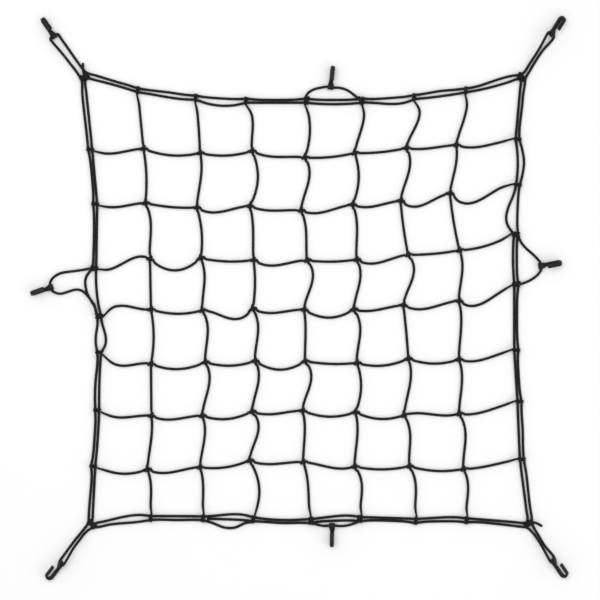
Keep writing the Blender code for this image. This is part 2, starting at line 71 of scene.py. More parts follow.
EDGE_SHARES = (0.04, 0.96)

KNOTS_ACROSS = np.array((
    (83.5, 138.0, 196.0, 246.0, 305.5, 362.5, 414.0, 465.7, 522.4),
    (91.0, 143.5, 200.0, 252.0, 304.8, 354.5, 406.3, 456.0, 516.7),
    (96.0, 145.4, 196.8, 249.8, 301.0, 352.5, 400.5, 449.8, 517.0),
    (95.0, 150.0, 200.7, 253.5, 307.0, 356.5, 408.0, 459.3, 515.0),
    (100.0, 151.0, 202.2, 252.7, 304.0, 353.7, 403.3, 458.7, 515.4),
    (100.0, 151.0, 205.3, 255.0, 305.0, 356.8, 408.2, 458.8, 515.4),
    (98.0, 151.5, 202.2, 252.0, 302.5, 355.3, 404.0, 459.0, 518.6),
    (94.1, 147.3, 200.0, 249.6, 303.2, 354.5, 409.3, 463.3, 521.0),
    (91.0, 150.8, 203.0, 253.0, 310.0, 360.5, 415.4, 466.0, 529.3),
))
KNOTS_DOWN = np.array((
    (76.5, 91.0, 98.5, 101.5, 101.5, 101.5, 98.0, 91.2, 76.5),
    (149.5, 148.8, 153.0, 151.0, 157.5, 153.0, 148.0, 145.0, 139.5),
    (204.0, 203.0, 207.5, 206.0, 210.5, 204.5, 200.8, 193.3, 185.0),
    (267.5, 259.0, 258.0, 260.0, 260.3, 259.5, 254.7, 250.2, 233.6),
    (317.0, 309.3, 310.3, 308.7, 309.5, 309.3, 305.0, 300.7, 285.2),
    (352.0, 363.8, 362.0, 360.8, 361.0, 362.8, 358.5, 359.3, 350.0),
    (409.8, 415.7, 415.5, 411.3, 410.5, 412.0, 415.0, 413.6, 401.3),
    (465.8, 469.2, 467.0, 460.3, 461.8, 466.3, 466.0, 468.8, 459.0),
    (524.8, 517.2, 517.5, 518.4, 520.0, 518.2, 520.0, 519.4, 524.5),
))

# Bows between knots, in steps, and where each is widest: e early, m in the middle, l late, s one way,
# then the other, h early, then a little the other way
CROSS_BOWS = (
    ((-0.8, 1.3, 4.5, 0.0, 1.5, 3.5, 0.5, 1.5), "mlmmmlmm"),
    ((4.5, 4.6, 3.7, 3.3, 2.0, 1.8, 2.0, 4.2), "emmemmee"),
    ((3.7, 1.9, 5.6, 2.9, 4.6, 3.9, 8.4, 12.4), "emeeeeeh"),
    ((4.2, 12.0, 2.5, 5.6, 1.8, 5.7, 1.4, 3.8), "smmememm"),
    ((-8.5, 4.0, 10.0, 4.1, 8.3, 3.0, 5.7, 9.8), "emlemeee"),
    ((9.3, 6.2, 4.3, 8.8, 2.0, 5.0, 4.7, 4.6), "emmmmmme"),
    ((5.5, 4.0, 5.6, 3.3, 5.4, 5.4, -1.6, 3.6), "eememmse"),
    ((6.1, 4.5, 3.7, 3.3, 3.6, 3.2, 3.5, 1.5), "memelmme"),
    ((-3.0, 0.0, -2.7, 2.0, -2.0, 0.0, -1.2, 0.0), "lmlmlmlm"),
)
LONG_BOWS = (
    ((0.0, 0.0, 0.0, -2.0, 4.8, -0.8, 0.5, 0.0), "mmmmlmmm"),
    ((0.0, 2.0, 3.8, 0.0, 2.7, 0.0, 1.7, 2.5), "mmemmmee"),
    ((0.6, 2.6, 3.0, 3.4, 4.6, 5.4, 3.6, 2.1), "memeeeee"),
    ((4.5, 7.0, 1.8, 1.9, 4.7, 4.9, 7.5, 8.0), "ememeeem"),
    ((4.8, 6.0, 2.7, 7.0, 1.2, 7.2, 2.1, 2.1), "meeeeeee"),
    ((3.8, 5.2, 3.0, 4.9, 5.5, 5.0, 2.5, 5.2), "emeeemee"),
    ((8.0, 5.6, -0.8, 7.5, 0.4, 4.0, 4.2, 4.2), "eememeee"),
    ((3.8, 2.4, -1.0, 3.3, 2.5, 3.1, 4.9, 3.8), "eemeeeee"),
    ((0.0, 2.2, -8.4, -1.0, 0.0, 0.0, 0.0, 0.0), "mmlmmmmm"),
)

EDGE_INSET = 1.35
BORDER_AT_KNOT = 2.6
BORDER_BETWEEN = 1.7
BORDER_BOWS = {
    ("bottom", 0): (1.5, "l"), ("bottom", 1): (0.9, "m"), ("bottom", 3): (2.0, "m"),
    ("right", 0): (1.8, "l"), ("right", 1): (1.1, "m"), ("right", 6): (5.4, "m"),
    ("top", 1): (1.7, "m"), ("top", 6): (0.8, "m"), ("top", 7): (2.2, "m"),
    ("left", 0): (1.5, "m"), ("left", 3): (10.2, "e"), ("left", 4): (2.7, "l"), ("left", 5): (2.0, "l"),
}

CORNER_LAYS = {
    "bottom_right": (
        (
            (504.0, 524.6), (515.0, 525.9), (522.4, 527.2), (527.7, 528.4), (531.4, 531.2),
            (536.5, 537.8), (541.4, 545.8),
        ),
        ((543.6, 544.4), (539.2, 536.6), (535.1, 530.0), (532.9, 525.3), (532.4, 519.5), (530.2, 509.0)),
    ),
    "top_right": (
        (
            (521.9, 107.0), (523.3, 92.5), (525.1, 84.0), (526.5, 77.6), (530.8, 69.0),
            (535.3, 61.5), (539.4, 55.0), (544.3, 48.6),
        ),
        (
            (540.0, 47.2), (536.0, 53.8), (532.1, 59.9), (527.6, 66.9), (523.9, 72.8),
            (517.6, 74.5), (510.0, 76.2), (500.0, 78.9),
        ),
    ),
    "top_left": (
        ((118.0, 82.3), (97.0, 75.9), (90.0, 73.6), (84.4, 70.6), (78.0, 62.6), (68.8, 49.4)),
        ((63.5, 55.0), (71.0, 64.7), (76.2, 71.3), (79.3, 77.5), (82.0, 84.0), (82.2, 92.0)),
    ),
    "bottom_left": (
        ((89.5, 505.0), (88.6, 516.3), (87.1, 523.8), (83.2, 530.0), (77.7, 536.8), (71.7, 544.5)),
        (
            (74.7, 546.4), (79.5, 540.2), (84.1, 533.9), (88.6, 529.8), (93.0, 528.2),
            (99.5, 527.2), (108.0, 524.7),
        ),
    ),
}
CORNER_KNOTS = {
    "bottom_right": (MESHES, MESHES),
    "top_right": (0, MESHES),
    "top_left": (0, 0),
    "bottom_left": (MESHES, 0),
}
BORDER_START = (207.5, 518.6)
BORDER_END_LAY = ((214.0, 523.4), (224.0, 527.4), (235.0, 527.6), (243.0, 523.8), (247.0, 522.2))
BORDER_END_TUCK = ((250.0, 522.0), (252.8, 522.0))  # the end is held by the turns of the edge knot there
BORDER_OWN_MESH = 2  # of the bottom edge, where the border cord starts and ends
BORDER_SHARES = (0.2, 0.5, 0.8)  # places of the border cord's points between two knots

# Cut ends of cord that stand out of two corner knots: across, down in steps, height in metres
TAILS = {
    "top_left": ((84.5, 77.5, 0.0060), (83.9, 72.6, 0.0092), (83.4, 68.5, 0.0089), (83.2, 63.8, 0.0058)),
    "bottom_right": (
        (528.3, 523.5, 0.0060), (532.4, 521.9, 0.0092), (536.5, 522.9, 0.0089), (541.4, 525.7, 0.0058),
    ),
}

# Hooks: barrel's middle (across, down), heading of the pull and lean of the tip, in degrees
HOOKS = {
    "bottom_right": (552.6, 560.0, -55.5, -54.0),
    "right": (540.4, 266.0, 11.0, 21.0),
    "top_right": (551.1, 34.6, 58.0, 38.0),
    "top": (330.5, 87.4, 84.0, 6.0),
    "top_left": (54.1, 36.4, 125.0, 16.0),
    "left": (51.2, 287.4, 199.0, 11.0),
    "bottom_left": (61.6, 562.8, 232.5, 55.0),
    "bottom": (332.1, 525.4, 269.5, 4.0),
}

SIDE_LOOPS = {
    "right": (
        ((516.4, 234.6), (519.3, 239.5), (523.0, 245.4), (528.6, 250.8), (534.6, 256.0)),
        ((537.3, 275.2), (531.4, 279.6), (524.6, 282.8), (519.4, 284.4), (516.9, 285.2)),
    ),
    "top": (
        ((305.7, 100.0), (305.6, 96.8), (308.0, 92.8), (313.8, 89.4), (321.5, 87.6)),
        ((341.4, 88.2), (347.2, 90.2), (352.0, 93.4), (356.8, 97.4), (359.8, 100.3)),
    ),
    "left": (
        (
            (96.7, 307.4), (93.0, 302.7), (87.8, 295.4), (82.6, 290.9), (77.0, 289.3), (69.0, 291.4),
            (60.0, 294.0),
        ),
        ((52.6, 278.2), (60.5, 273.2), (70.5, 271.6), (83.0, 269.9), (90.0, 268.4), (93.6, 267.7)),
    ),
    "bottom": (
        ((311.2, 521.2), (313.6, 523.0), (318.0, 524.8), (323.0, 525.8)),
        ((341.5, 526.0), (348.2, 525.2), (354.0, 523.4), (358.4, 520.9)),
    ),
}
LOOP_KNOTS = {
    "right": ((3, 8), (4, 8)),
    "top": ((0, 4), (0, 5)),
    "left": ((4, 0), (3, 0)),
    "bottom": ((8, 4), (8, 5)),
}
WAYS = {
    "bottom": np.array((0.0, -1.0, 0.0)),
    "right": np.array((1.0, 0.0, 0.0)),
    "top": np.array((0.0, 1.0, 0.0)),
    "left": np.array((-1.0, 0.0, 0.0)),
}

# --- Sizes of the hook, in its own frame: barrel along X, pull along +Y, tip on the +Z side ---
BARREL_RADIUS = 0.0050
BARREL_HALF = 0.0055
CORD_HOLE_RADIUS = 0.0031
HOOK_HALF_WIDTH = 0.00375
SHANK_THICK = 0.0055
THROAT = 0.0075
TIP_THICK = 0.0040
BEND_RADIUS = (SHANK_THICK + THROAT + TIP_THICK) / 2
HOOK_REACH = 0.0400
TIP_LENGTH = 0.0200
LEAD = 0.0006
TURN_RADIUS = 0.0029
ROOT_LENGTH = 0.0130
ROOT_START = 0.0037
ROOT_HALF_WIDTH = 0.0051
ROOT_TOP = 0.0037
ROOT_BOTTOM = 0.0003  # above the barrel's lowest line
SUNK = 0.0002  # how far the root's end lies inside the shank's faces
SHANK_START = 0.0045
ROUND_BACK = -0.0085  # how far towards the net a corner cord is clear of its hook
LIP = 0.0008  # rounding of the barrel's outer edge
HOLE_LIP = 0.0005
GROOVE_DEPTH = 0.0009
GROOVE_WIDTH = 0.58  # share of the J's half thickness
GROOVE_START = 0.013
GROOVE_TIP_GAP = 0.003
GROOVE_FADE = 0.004
TIP_NARROWING = 0.30
TIP_ROUND = 0.985  # share of the half round at which the tip is closed
HOOK_SIDES = 40
SHANK_RINGS = 22
BEND_RINGS = 26
TIP_RINGS = 16
ROOT_RINGS = 12
LIP_POINTS = 5
HOOK_FINISH = (
    ("WELD", {"merge_threshold": 0.00001}),
    ("REMESH", {"mode": "VOXEL", "voxel_size": 0.00042}),
    ("SMOOTH", {"factor": 0.5, "iterations": 3}),
    ("DECIMATE", {"ratio": 0.30}),
)
BEND_LEAN = 0.22  # share by which the bend's lowest place moves out as a hook leans
DRAWN_IN = 0.98  # a corner cord's two runs draw together behind the barrel
ROUND_ANGLES = (30.0, 60.0, 90.0)
HELD_AT_HOOK = ((0.0, 0.0, 0.0), (0.009, -0.002, 0.0), (-0.009, -0.002, 0.0))

# The tied mesh knot, a sheet bend. Columns: along the diagonal of the crossing that runs to the upper right,
# along the one to the upper left, height above the floor; all in millimetres.
KNOT_BIGHT = np.array((
    (-3.6, 3.5, 2.9), (-2.8, 2.0, 4.2), (-2.5, -0.5, 5.3), (-1.7, -2.7, 5.6), (0.0, -3.6, 5.8),
    (1.7, -2.7, 5.6), (2.5, -0.5, 5.3), (2.8, 2.0, 4.2), (3.6, 3.5, 2.9),
))
KNOT_TURN = np.array((
    (-3.2, -4.7, 2.3), (-1.4, -4.2, 2.1), (-0.7, -2.8, 2.6), (-0.9, -1.5, 4.8), (-0.6, -0.5, 7.6),
    (0.6, 0.6, 8.9), (2.6, 1.3, 8.4), (4.5, 1.6, 6.2), (4.7, 2.2, 3.7), (2.8, 2.6, 2.1),
    (0.0, 2.6, 1.9), (-2.8, 2.5, 2.1), (-4.7, 2.0, 3.7), (-4.6, 1.2, 6.2), (-2.8, 0.6, 7.6),
    (-0.7, 0.5, 6.0), (1.2, -0.6, 6.4), (2.9, -2.0, 7.6), (4.2, -3.3, 5.6), (4.8, -4.2, 3.4),
))
BIGHT_SHARE = 0.9  # a cord pulled tight in a knot is thinner: share of its radius
TURN_SHARE = 0.88
KNOT_SCALES = (0.93, 1.05)
KNOT_TWISTS = (-0.12, 0.12)
TURN_STEP = 15.0
TURN_POWER = 0.72
CORNER_TURN_ANGLES = (-150.0, 800.0)
EDGE_LIFT = 0.0055  # height of the edge cords' middle inside an edge knot
EDGE_TURN_REACH = 0.0064  # half width of the turns' middle line round the two edge cords
EDGE_TURN_RISE = 0.0036
EDGE_LIFT_REACH = 0.0105
CORNER_TURN_OUT = 0.0016  # from a corner's crossing to the middle of its turns
CORNER_TURN_RADIUS = 0.0019
CORNER_TURN_REACH = 0.0089
CORNER_TURN_TAPER = 0.0014
CORNER_TURN_RISE = 0.0036
CORNER_TURN_SPREAD = 0.0092
CORNER_LIFT = 0.0052
CORNER_GRIP = 0.42  # share by which the turns draw the border cord's two runs together
CORNER_GRIP_REACH = 0.0105
SELVEDGE_END = 0.0022  # where the edge cord's ends lie inside the turns, across
LOOP_TIE_OFFSET = 0.0043  # along the edge from an edge knot to the loop's own tie
TIE_REACH = 0.0095  # from the middle of a loop's tie to its free cord
TIE_RADIUS = 0.0020  # pulled tight, the cord of a tie is thinner
TIE_TAPER = 0.0080  # from the free cord to the tie's own thickness
WRAP_RADIUS = 0.0017  # cord pressed flat round an edge
LOOP_SHARE = 0.97  # the side loops' cord is a little thinner
KNOT_CLEAR = 0.014  # from a corner knot to where the border cord begins to rise
NET_HOLD = 0.0095  # reach round a held place in which a path isn't relaxed
EDGE_HOLD = 0.003
HOOK_HOLD = 0.0045
CHAIN_STAGGER = 0.137  # the braid of each net cord starts this much further on

# A cut end is melted round: how far past the last station its rings lie, and their share of the radius
END_PAST = np.array((0.00025, 0.00060, 0.00090))
END_SHARE = np.array((0.96, 0.84, 0.60))
END_CROWN = 0.0001

VIEW_MIDDLE = 300.0  # of the camera's view, across and down, in steps
SENSOR_WIDTH = 36.0
SKY = {"Color": (1.0, 1.0, 1.0, 1.0), "Strength": 0.75}
# Each lamp's name, place, side and power
LAMPS = (
    ("softbox_above", (-0.5, 0.6, 3.2), 2.6, 42.0),
    ("softbox_side", (2.4, -1.8, 2.2), 1.8, 16.0),
)


# --- Paths ---


def place(across, down, height=CORD_RADIUS):
    """Table place to metres: steps from the middle, down the table is -Y."""
    return np.array(((across - MIDDLE_ACROSS) * STEP, (MIDDLE_DOWN - down) * STEP, height))


def norms(vectors):
    """Length of each vector, along the last axis."""
    return np.linalg.norm(vectors, axis=-1)


def unit(vectors):
    vectors = np.asarray(vectors, float)
    return vectors / np.maximum(norms(vectors), 1e-12)[..., None]


def flat(vector):
    return np.array((vector[0], vector[1], 0.0))


def table_knot(row, column, height=CORD_RADIUS):
    return place(KNOTS_ACROSS[row, column], KNOTS_DOWN[row, column], height)


def smooth_step(share):
    """From 0 to 1 without a corner: t^2 (3 - 2 t)."""
    return share * share * (3 - 2 * share)


def lengths_along(path):
    """Length from the start of a path to each of its points."""
    return np.concatenate(((0.0,), np.cumsum(norms(np.diff(path, axis=0)))))


def gaps_across(path, spots):
    """Level distance from every point of a path to every spot."""
    return norms(path[:, None, :2] - np.asarray(spots)[None, :, :2])


def knot_middle(row, column):
    """Middle of a knot of the net, on the edge a little inside the table's place."""
    inward = ((column == 0) - (column == MESHES), (row == MESHES) - (row == 0), 0.0)
    return table_knot(row, column) + EDGE_INSET * STEP * np.array(inward)


def bow_share(shape, share):
    """Share of its bow at a share t of the way, t (1 - t) times: early 27/4 (1 - t), late 27/4 t,
    swing 10.4 (1 - 2 t), hooked 9.4 (0.82 - t), middle 4."""
    rest = 1.0 - share
    return share * rest * {
        "e": 6.75 * rest, "l": 6.75 * share, "s": 10.4 * (rest - share), "h": 9.4 * (0.82 - share), "m": 4.0,
    }[shape]


def mesh_side(first, second, bow, shape, way, ends, count=8):
    """Points on the floor from one knot to the next: the chord, pushed along way by the bow's share."""
    start, end = knot_middle(*first), knot_middle(*second)
    shares = np.linspace(*ends, count)[:, None]
    points = start + (end - start) * shares + way * (bow * STEP) * bow_share(shape, shares)
    points[:, 2] = CORD_RADIUS
    return points


def cross_side(row, column, ends=SIDE_SHARES):
    bows, shapes = CROSS_BOWS[row]
    return mesh_side((row, column), (row, column + 1), bows[column], shapes[column], WAYS["bottom"], ends)


def long_side(row, column, ends=SIDE_SHARES):
    bows, shapes = LONG_BOWS[column]
    return mesh_side((row, column), (row + 1, column), bows[row], shapes[row], WAYS["right"], ends)


def smooth(points, dense=0.0006):
    """Centripetal Catmull-Rom curve through the points, sampled densely: each span is a repeated mix of its
    four control points, for all samples of all spans at once."""
    points = np.asarray(points, float)
    apart = norms(np.diff(points, axis=0)) > SAME_PLACE
    points = points[np.concatenate(((True,), apart))]
    whole = np.vstack((2 * points[0] - points[1], points, 2 * points[-1] - points[-2]))
    gaps = norms(np.diff(whole, axis=0))
    spans = len(points) - 1
    knots = np.cumsum([np.zeros(spans), *(np.sqrt(gaps[n:n + spans]) for n in range(3))], axis=0)
    samples = max(2, int(math.ceil(gaps[1:-1].max() / dense)))
    at = knots[1][:, None] + (knots[2] - knots[1])[:, None] * (np.arange(samples) / samples)
    level = [whole[n:n + spans, None, :] for n in range(4)]
    for reach in (1, 2):
        level = [mix(level[n], level[n + 1], knots[n], knots[n + reach], at) for n in range(len(level) - 1)]
    curve = mix(level[0], level[1], knots[1], knots[2], at)
    return np.vstack((curve.reshape(-1, 3), points[-1:]))


def mix(first, second, low, high, at):
    share = ((at - low[:, None]) / (high - low)[:, None])[..., None]
    return first * (1 - share) + second * share


def along_axes(function, path):
    """A function of one axis's values, used on each of a path's three axes."""
    return np.stack([function(path[:, axis]) for axis in range(3)], axis=1)


def thin_out(dense, longest=0.0058, turn=0.34):
    """Stations along a dense path, closer where it turns: even steps of length / longest + angle / turn."""
    steps = np.diff(dense, axis=0)
    ways = unit(steps)
    angles = np.zeros(len(steps))
    angles[1:] = np.arccos(np.clip((ways[1:] * ways[:-1]).sum(1), -1, 1))
    cost = np.concatenate(((0.0,), np.cumsum(norms(steps) / longest + angles / turn)))
    at = np.linspace(0, cost[-1], max(2, int(math.ceil(cost[-1])) + 1))
    return along_axes(lambda values: np.interp(at, cost, values), dense)


def relaxed(path, held, reaches, window=0.022, fade=0.008):
    """Eases a path's bends as an elastic cord does: path (1 - w) + w average, where average is the path's
    moving average over the window, and w rises from 0 to 1 by a smooth step past each held place's reach."""
    along = lengths_along(path)
    at = np.linspace(0.0, along[-1], max(2, int(along[-1] / EVEN_SPACING)))
    path = along_axes(lambda values: np.interp(at, along, values), path)
    half = int(window / EVEN_SPACING / 2)
    weights = np.hanning(2 * half + 3)[1:-1]
    weights /= weights.sum()
    padded = np.concatenate((2 * path[0] - path[half:0:-1], path, 2 * path[-1] - path[-2:-half - 2:-1]))
    average = along_axes(lambda values: np.convolve(values, weights, mode="valid"), padded)
    gap = (gaps_across(path, held) - reaches).min(1)
    share = smooth_step(np.clip(gap / fade, 0.0, 1.0))[:, None]
    return path * (1 - share) + average * share


def kept_up(path, height=CORD_RADIUS):
    """A path held at or above a height, which is one number or one for each point."""
    path[:, 2] = np.maximum(path[:, 2], height)
    return path


def placed_spots(spots):
    return np.array([place(*spot) for spot in spots])


# --- Surfaces ---


class Surface:
    """Collects grids into one mesh: vertices, faces and a UV corner for every face corner."""

    def __init__(self):
        self.points = []
        self.faces = []
        self.corners = []
        self.count = 0

    def add_grid(self, grid, along):
        """A grid of closed rings (ring, side, xyz). U runs once round a ring, V is the length along."""
        rings, sides = grid.shape[:2]
        index = self.count + np.arange(rings * sides).reshape(rings, sides)
        index = np.concatenate((index, index[:, :1]), axis=1)
        uv = np.stack(np.meshgrid(np.linspace(0.0, 1.0, sides + 1), along), axis=-1)
        self.points.append(grid.reshape(-1, 3))
        self.faces.extend(four_corners(index).reshape(-1, 4).tolist())
        self.corners.append(four_corners(uv).reshape(-1, 2))
        self.count += rings * sides
        return index

    def close_ends(self, index, middles, along):
        """Closes the first and the last ring, each with a fan of triangles round its middle point."""
        sides = index.shape[1] - 1
        for end, turn in ((0, -1), (-1, 1)):
            edges = np.stack((index[end, :-1], index[end, 1:]), axis=1)[:, ::turn]
            self.faces.extend(np.hstack((edges, np.full((sides, 1), self.count))).tolist())
            self.points.append(np.asarray(middles[end], float)[None])
            self.count += 1
            uv = np.stack((np.arange(sides) / sides, np.full(sides, along[end])), axis=-1)
            self.corners.append(np.repeat(uv, 3, axis=0))

    def add_solid(self, grid, along):
        """A grid whose two ends are closed at the middles of their rings."""
        self.close_ends(self.add_grid(grid, along), grid[[0, -1]].mean(1), along)

    def mesh(self, name):
        mesh = bpy.data.meshes.new(name)
        mesh.from_pydata(np.concatenate(self.points).tolist(), [], self.faces)
        layer = mesh.uv_layers.new(name="lay")
        layer.data.foreach_set("uv", np.concatenate(self.corners).astype(np.float32).ravel())
        mesh.polygons.foreach_set("use_smooth", np.ones(len(mesh.polygons), bool))
        mesh.validate()
        mesh.update()
        return mesh


def four_corners(table):
    """The four corners of every cell of a table."""
    return np.stack((table[:-1, :-1], table[:-1, 1:], table[1:, 1:], table[1:, :-1]), axis=2)


def round_angles(sides):
    """Even angles once round."""
    return np.arange(sides) * (2 * math.pi / sides)


def flattened(angle, power):
    """A superellipse of unit size: sign(cos) |cos|^power and sign(sin) |sin|^power."""
    return [np.sign(wave) * np.abs(wave) ** power for wave in (np.cos(angle), np.sin(angle))]


def side_axes(path):
    """Two axes square to the path at every station, carried along it with as little twist as can be."""
    ways = unit(np.gradient(path, axis=0))
    start = UP if abs(ways[0, 2]) < 0.9 else np.array((1.0, 0.0, 0.0))
    axis = unit(start - ways[0] * start.dot(ways[0]))
    axes = [axis]
    for way in ways[1:]:
        axis = axis - way * axis.dot(way)
        axis /= max(math.sqrt(axis.dot(axis)), 1e-12)
        axes.append(axis)
    first = np.array(axes)
    return first, np.cross(ways, first), ways


def add_cord(surface, path, radius, sides, start_at=0.0):
    """A round cord along the path: ring point = path + r (cos a first + sin a second). Its ends are domed."""
    first, second, ways = side_axes(path)
    radius = np.broadcast_to(np.asarray(radius, float), (len(path),))
    along = start_at + lengths_along(path)
    past = END_PAST[:, None]
    path = np.concatenate((path[:1] - ways[:1] * past[::-1], path, path[-1:] + ways[-1:] * past))
    radius = np.concatenate((radius[0] * END_SHARE[::-1], radius, radius[-1] * END_SHARE))
    along = np.concatenate((along[0] - END_PAST[::-1], along, along[-1] + END_PAST))
    extra = (len(END_PAST), len(END_PAST))
    first, second = (np.pad(axes, (extra, (0, 0)), mode="edge")[:, None] for axes in (first, second))
    angle = round_angles(sides)[:, None]
    grid = path[:, None] + radius[:, None, None] * (np.cos(angle) * first + np.sin(angle) * second)
    crowns = (path[0] - ways[0] * END_CROWN, path[-1] + ways[-1] * END_CROWN)
    surface.close_ends(surface.add_grid(grid, along), crowns, along)


def with_values(thing, **values):
    """Sets several of a thing's attributes."""
    for key, value in values.items():
        setattr(thing, key, value)
    return thing


def new_object(name, data):
    """A new object in the scene for a mesh, a light or a camera."""
    made = bpy.data.objects.new(name, data)
    bpy.context.scene.collection.objects.link(made)
    return made


def new_piece(mesh, material):
    piece = new_object(mesh.name, mesh)
    mesh.materials.clear()
    mesh.materials.append(material)
    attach(piece, "root")
    return piece


# --- The net's knots and cords ---


def knot_axes(row, column):
    """A crossing's middle and its two diagonals, from the ways in which its four cords leave it."""
    middle = knot_middle(row, column)
    east, west, south, north = (
        unit(flat(spot - middle))
        for spot in (
            cross_side(row, column)[0], cross_side(row, column - 1)[-1],
            long_side(row, column)[0], long_side(row - 1, column)[-1],
        )
    )
    across, up = unit(east - west), unit(north - south)
    return middle, unit(across + up), unit(up - across)


def tied(table, row, column):
    """A knot table laid on a crossing: middle + right diagonal * first + left diagonal * second, at its
    height. Each knot has a size and a twist of its own."""
    middle, right, left = knot_axes(row, column)
    rng = np.random.default_rng(100 * row + column)
    scale = rng.uniform(*KNOT_SCALES)
    twist = rng.uniform(*KNOT_TWISTS)
    right, left = (
        right * math.cos(twist) + left * math.sin(twist),
        left * math.cos(twist) - right * math.sin(twist),
    )
    points = middle + (right * table[:, :1] + left * table[:, 1:2]) * (MILLIMETRE * scale)
    points[:, 2] = table[:, 2] * MILLIMETRE
    return points


def edge_frame(row, column):
    """Middle of the two edge cords at an edge knot, the way along the edge and the way out of the net."""
    side = "top" if row == 0 else "bottom" if row == MESHES else "left" if column == 0 else "right"
    outward = WAYS[side]
    middle = table_knot(row, column, EDGE_LIFT) + outward * ((BORDER_AT_KNOT - EDGE_INSET) / 2 * STEP)
    along = np.array((outward[1], -outward[0], 0.0))
    return middle, along, outward


def edge_turns(middle, along, outward, first=118.0, last=-335.0, pitch=0.0038):
    """Turns of cord round the two edge cords, from one angle to another and moved along by pitch. In the
    plane of outward and up they are a superellipse, so they lie flat on the cords."""
    angle = np.radians(np.arange(first, last, math.copysign(TURN_STEP, last - first)))[:, None]
    share = np.linspace(-0.5, 0.5, len(angle))[:, None]
    spread = pitch * abs(last - first) / 360.0
    out, up = flattened(angle, TURN_POWER)
    return middle + out * outward * EDGE_TURN_REACH + up * UP * EDGE_TURN_RISE + share * along * spread


def net_chain(row, column):
    """One cord of the net as it is tied, in parts of points and a radius. It zigzags up and to the right:
    it comes into a knot from the left and leaves upwards as a bight, and comes into the next from below and
    leaves to the right as the turns round that knot's bight. Its ends are turned round the edge."""
    to_right = column == 0
    parts = [(edge_turns(*edge_frame(row, column))[::-1], WRAP_RADIUS)]
    first = 1  # the side's first point gives way to the turns round the edge
    while True:
        if to_right:
            points = cross_side(row, column)
            column += 1
        else:
            points = long_side(row - 1, column)[::-1]
            row -= 1
        if row == 0 or column == MESHES:
            turns = edge_turns(*edge_frame(row, column))
            return [*parts, (points[:-1], CORD_RADIUS), (turns, WRAP_RADIUS)]
        parts.append((points[first:], CORD_RADIUS))
        first = 0
        table, share = (KNOT_BIGHT, BIGHT_SHARE) if to_right else (KNOT_TURN, TURN_SHARE)
        parts.append((tied(table, row, column), CORD_RADIUS * share))
        to_right = not to_right


def path_and_radius(parts):
    """Joins parts into one smooth path whose radius, by length, is that of the parts' points."""
    points = np.concatenate([part for part, _ in parts])
    radii = np.concatenate([np.full(len(part), radius) for part, radius in parts])
    stations = thin_out(relaxed(smooth(points), *net_holds()))
    control, along = lengths_along(points), lengths_along(stations)
    radius = np.interp(along * control[-1] / along[-1], control, radii)
    return kept_up(stations, radius), radius


def net_holds():
    """Middles of all knots, with the reach round each in which a path keeps its tied form."""
    middles = [knot_middle(row, column) for row in range(MESHES + 1) for column in range(MESHES + 1)]
    return middles, np.full(len(middles), NET_HOLD)


def hook_holds():
    """Places at each barrel and its two mouths where a cord keeps its lay, with their reaches."""
    spots = np.concatenate([at_hook(hook_matrix(side), HELD_AT_HOOK) for side in HOOKS])
    return spots, np.full(len(spots), HOOK_HOLD)


def edge_holds():
    """Middles of the edge knots alone, and the hooks' places."""
    middles = [edge_frame(*knot)[0] for knot in edge_knots()]
    spots, reaches = hook_holds()
    return np.concatenate((middles, spots)), np.concatenate((np.full(len(middles), EDGE_HOLD), reaches))


def edge_knots():
    for number in range(1, MESHES):
        yield from ((0, number), (MESHES, number), (number, 0), (number, MESHES))


def lifted_at_knots(path):
    """Raises the edge cords inside the edge and corner knots: height + lift * exp(-(distance / reach)^2)."""
    path = path.copy()
    for middles, height in (
        ([edge_frame(*knot)[0] for knot in edge_knots()], EDGE_LIFT),
        ([corner_frame(corner)[0] for corner in CORNER_KNOTS], CORNER_LIFT),
    ):
        gap = gaps_across(path, middles).min(1)
        kept_up(path, CORD_RADIUS + (height - CORD_RADIUS) * np.exp(-((gap / EDGE_LIFT_REACH) ** 2)))
    return path


def gripped(path):
    """Draws a path in where the corner turns grip it: its way across the knot is taken times
    1 - grip exp(-(distance / reach)^2)."""
    path = path.copy()
    for corner in CORNER_KNOTS:
        middle, _, across = corner_frame(corner)
        from_middle = (path - middle) * (1.0, 1.0, 0.0)
        share = CORNER_GRIP * np.exp(-((norms(from_middle) / CORNER_GRIP_REACH) ** 2))
        path -= (from_middle @ across * share)[:, None] * across
    return path


def selvedge():
    """The net's own edge cord, once round: bottom left, up, right, down and back, tight at the corners."""
    middle, _, across = corner_frame("bottom_left")
    points = np.concatenate((
        [middle - across * SELVEDGE_END],
        *(long_side(row, 0, EDGE_SHARES)[::-1] for row in reversed(range(MESHES))),
        *(cross_side(0, column, EDGE_SHARES) for column in range(MESHES)),
        *(long_side(row, MESHES, EDGE_SHARES) for row in range(MESHES)),
        *(cross_side(MESHES, column, EDGE_SHARES)[::-1] for column in reversed(range(MESHES))),
        [middle + across * SELVEDGE_END],
    ))
    return lifted_at_knots(relaxed(smooth(points), *edge_holds()))


def corner_frame(corner):
    """Middle of a corner knot, the way out to the hook and the way across."""
    middle = knot_middle(*CORNER_KNOTS[corner])
    outward = unit(flat(np.array(hook_matrix(corner).translation)[:3] - middle))
    across = np.array((-outward[1], outward[0], 0.0))
    return middle + outward * CORNER_TURN_OUT, outward, across


def corner_turns(corner):
    """Turns of cord round all that meets in a corner, moved outwards: a superellipse across the way out,
    whose width shrinks as the turns move outwards."""
    middle, outward, across = corner_frame(corner)
    angle = np.radians(np.arange(*CORNER_TURN_ANGLES, TURN_STEP))[:, None]
    share = np.linspace(-0.5, 0.5, len(angle))[:, None]
    reach = CORNER_TURN_REACH - CORNER_TURN_TAPER * (share + 0.5)
    over, up = flattened(angle, TURN_POWER)
    height = CORNER_TURN_RADIUS + CORNER_TURN_RISE * (1 + up)
    return flat(middle) + over * reach * across + height * UP + share * outward * CORNER_TURN_SPREAD


# --- Hooks' places, border cord and side loops ---


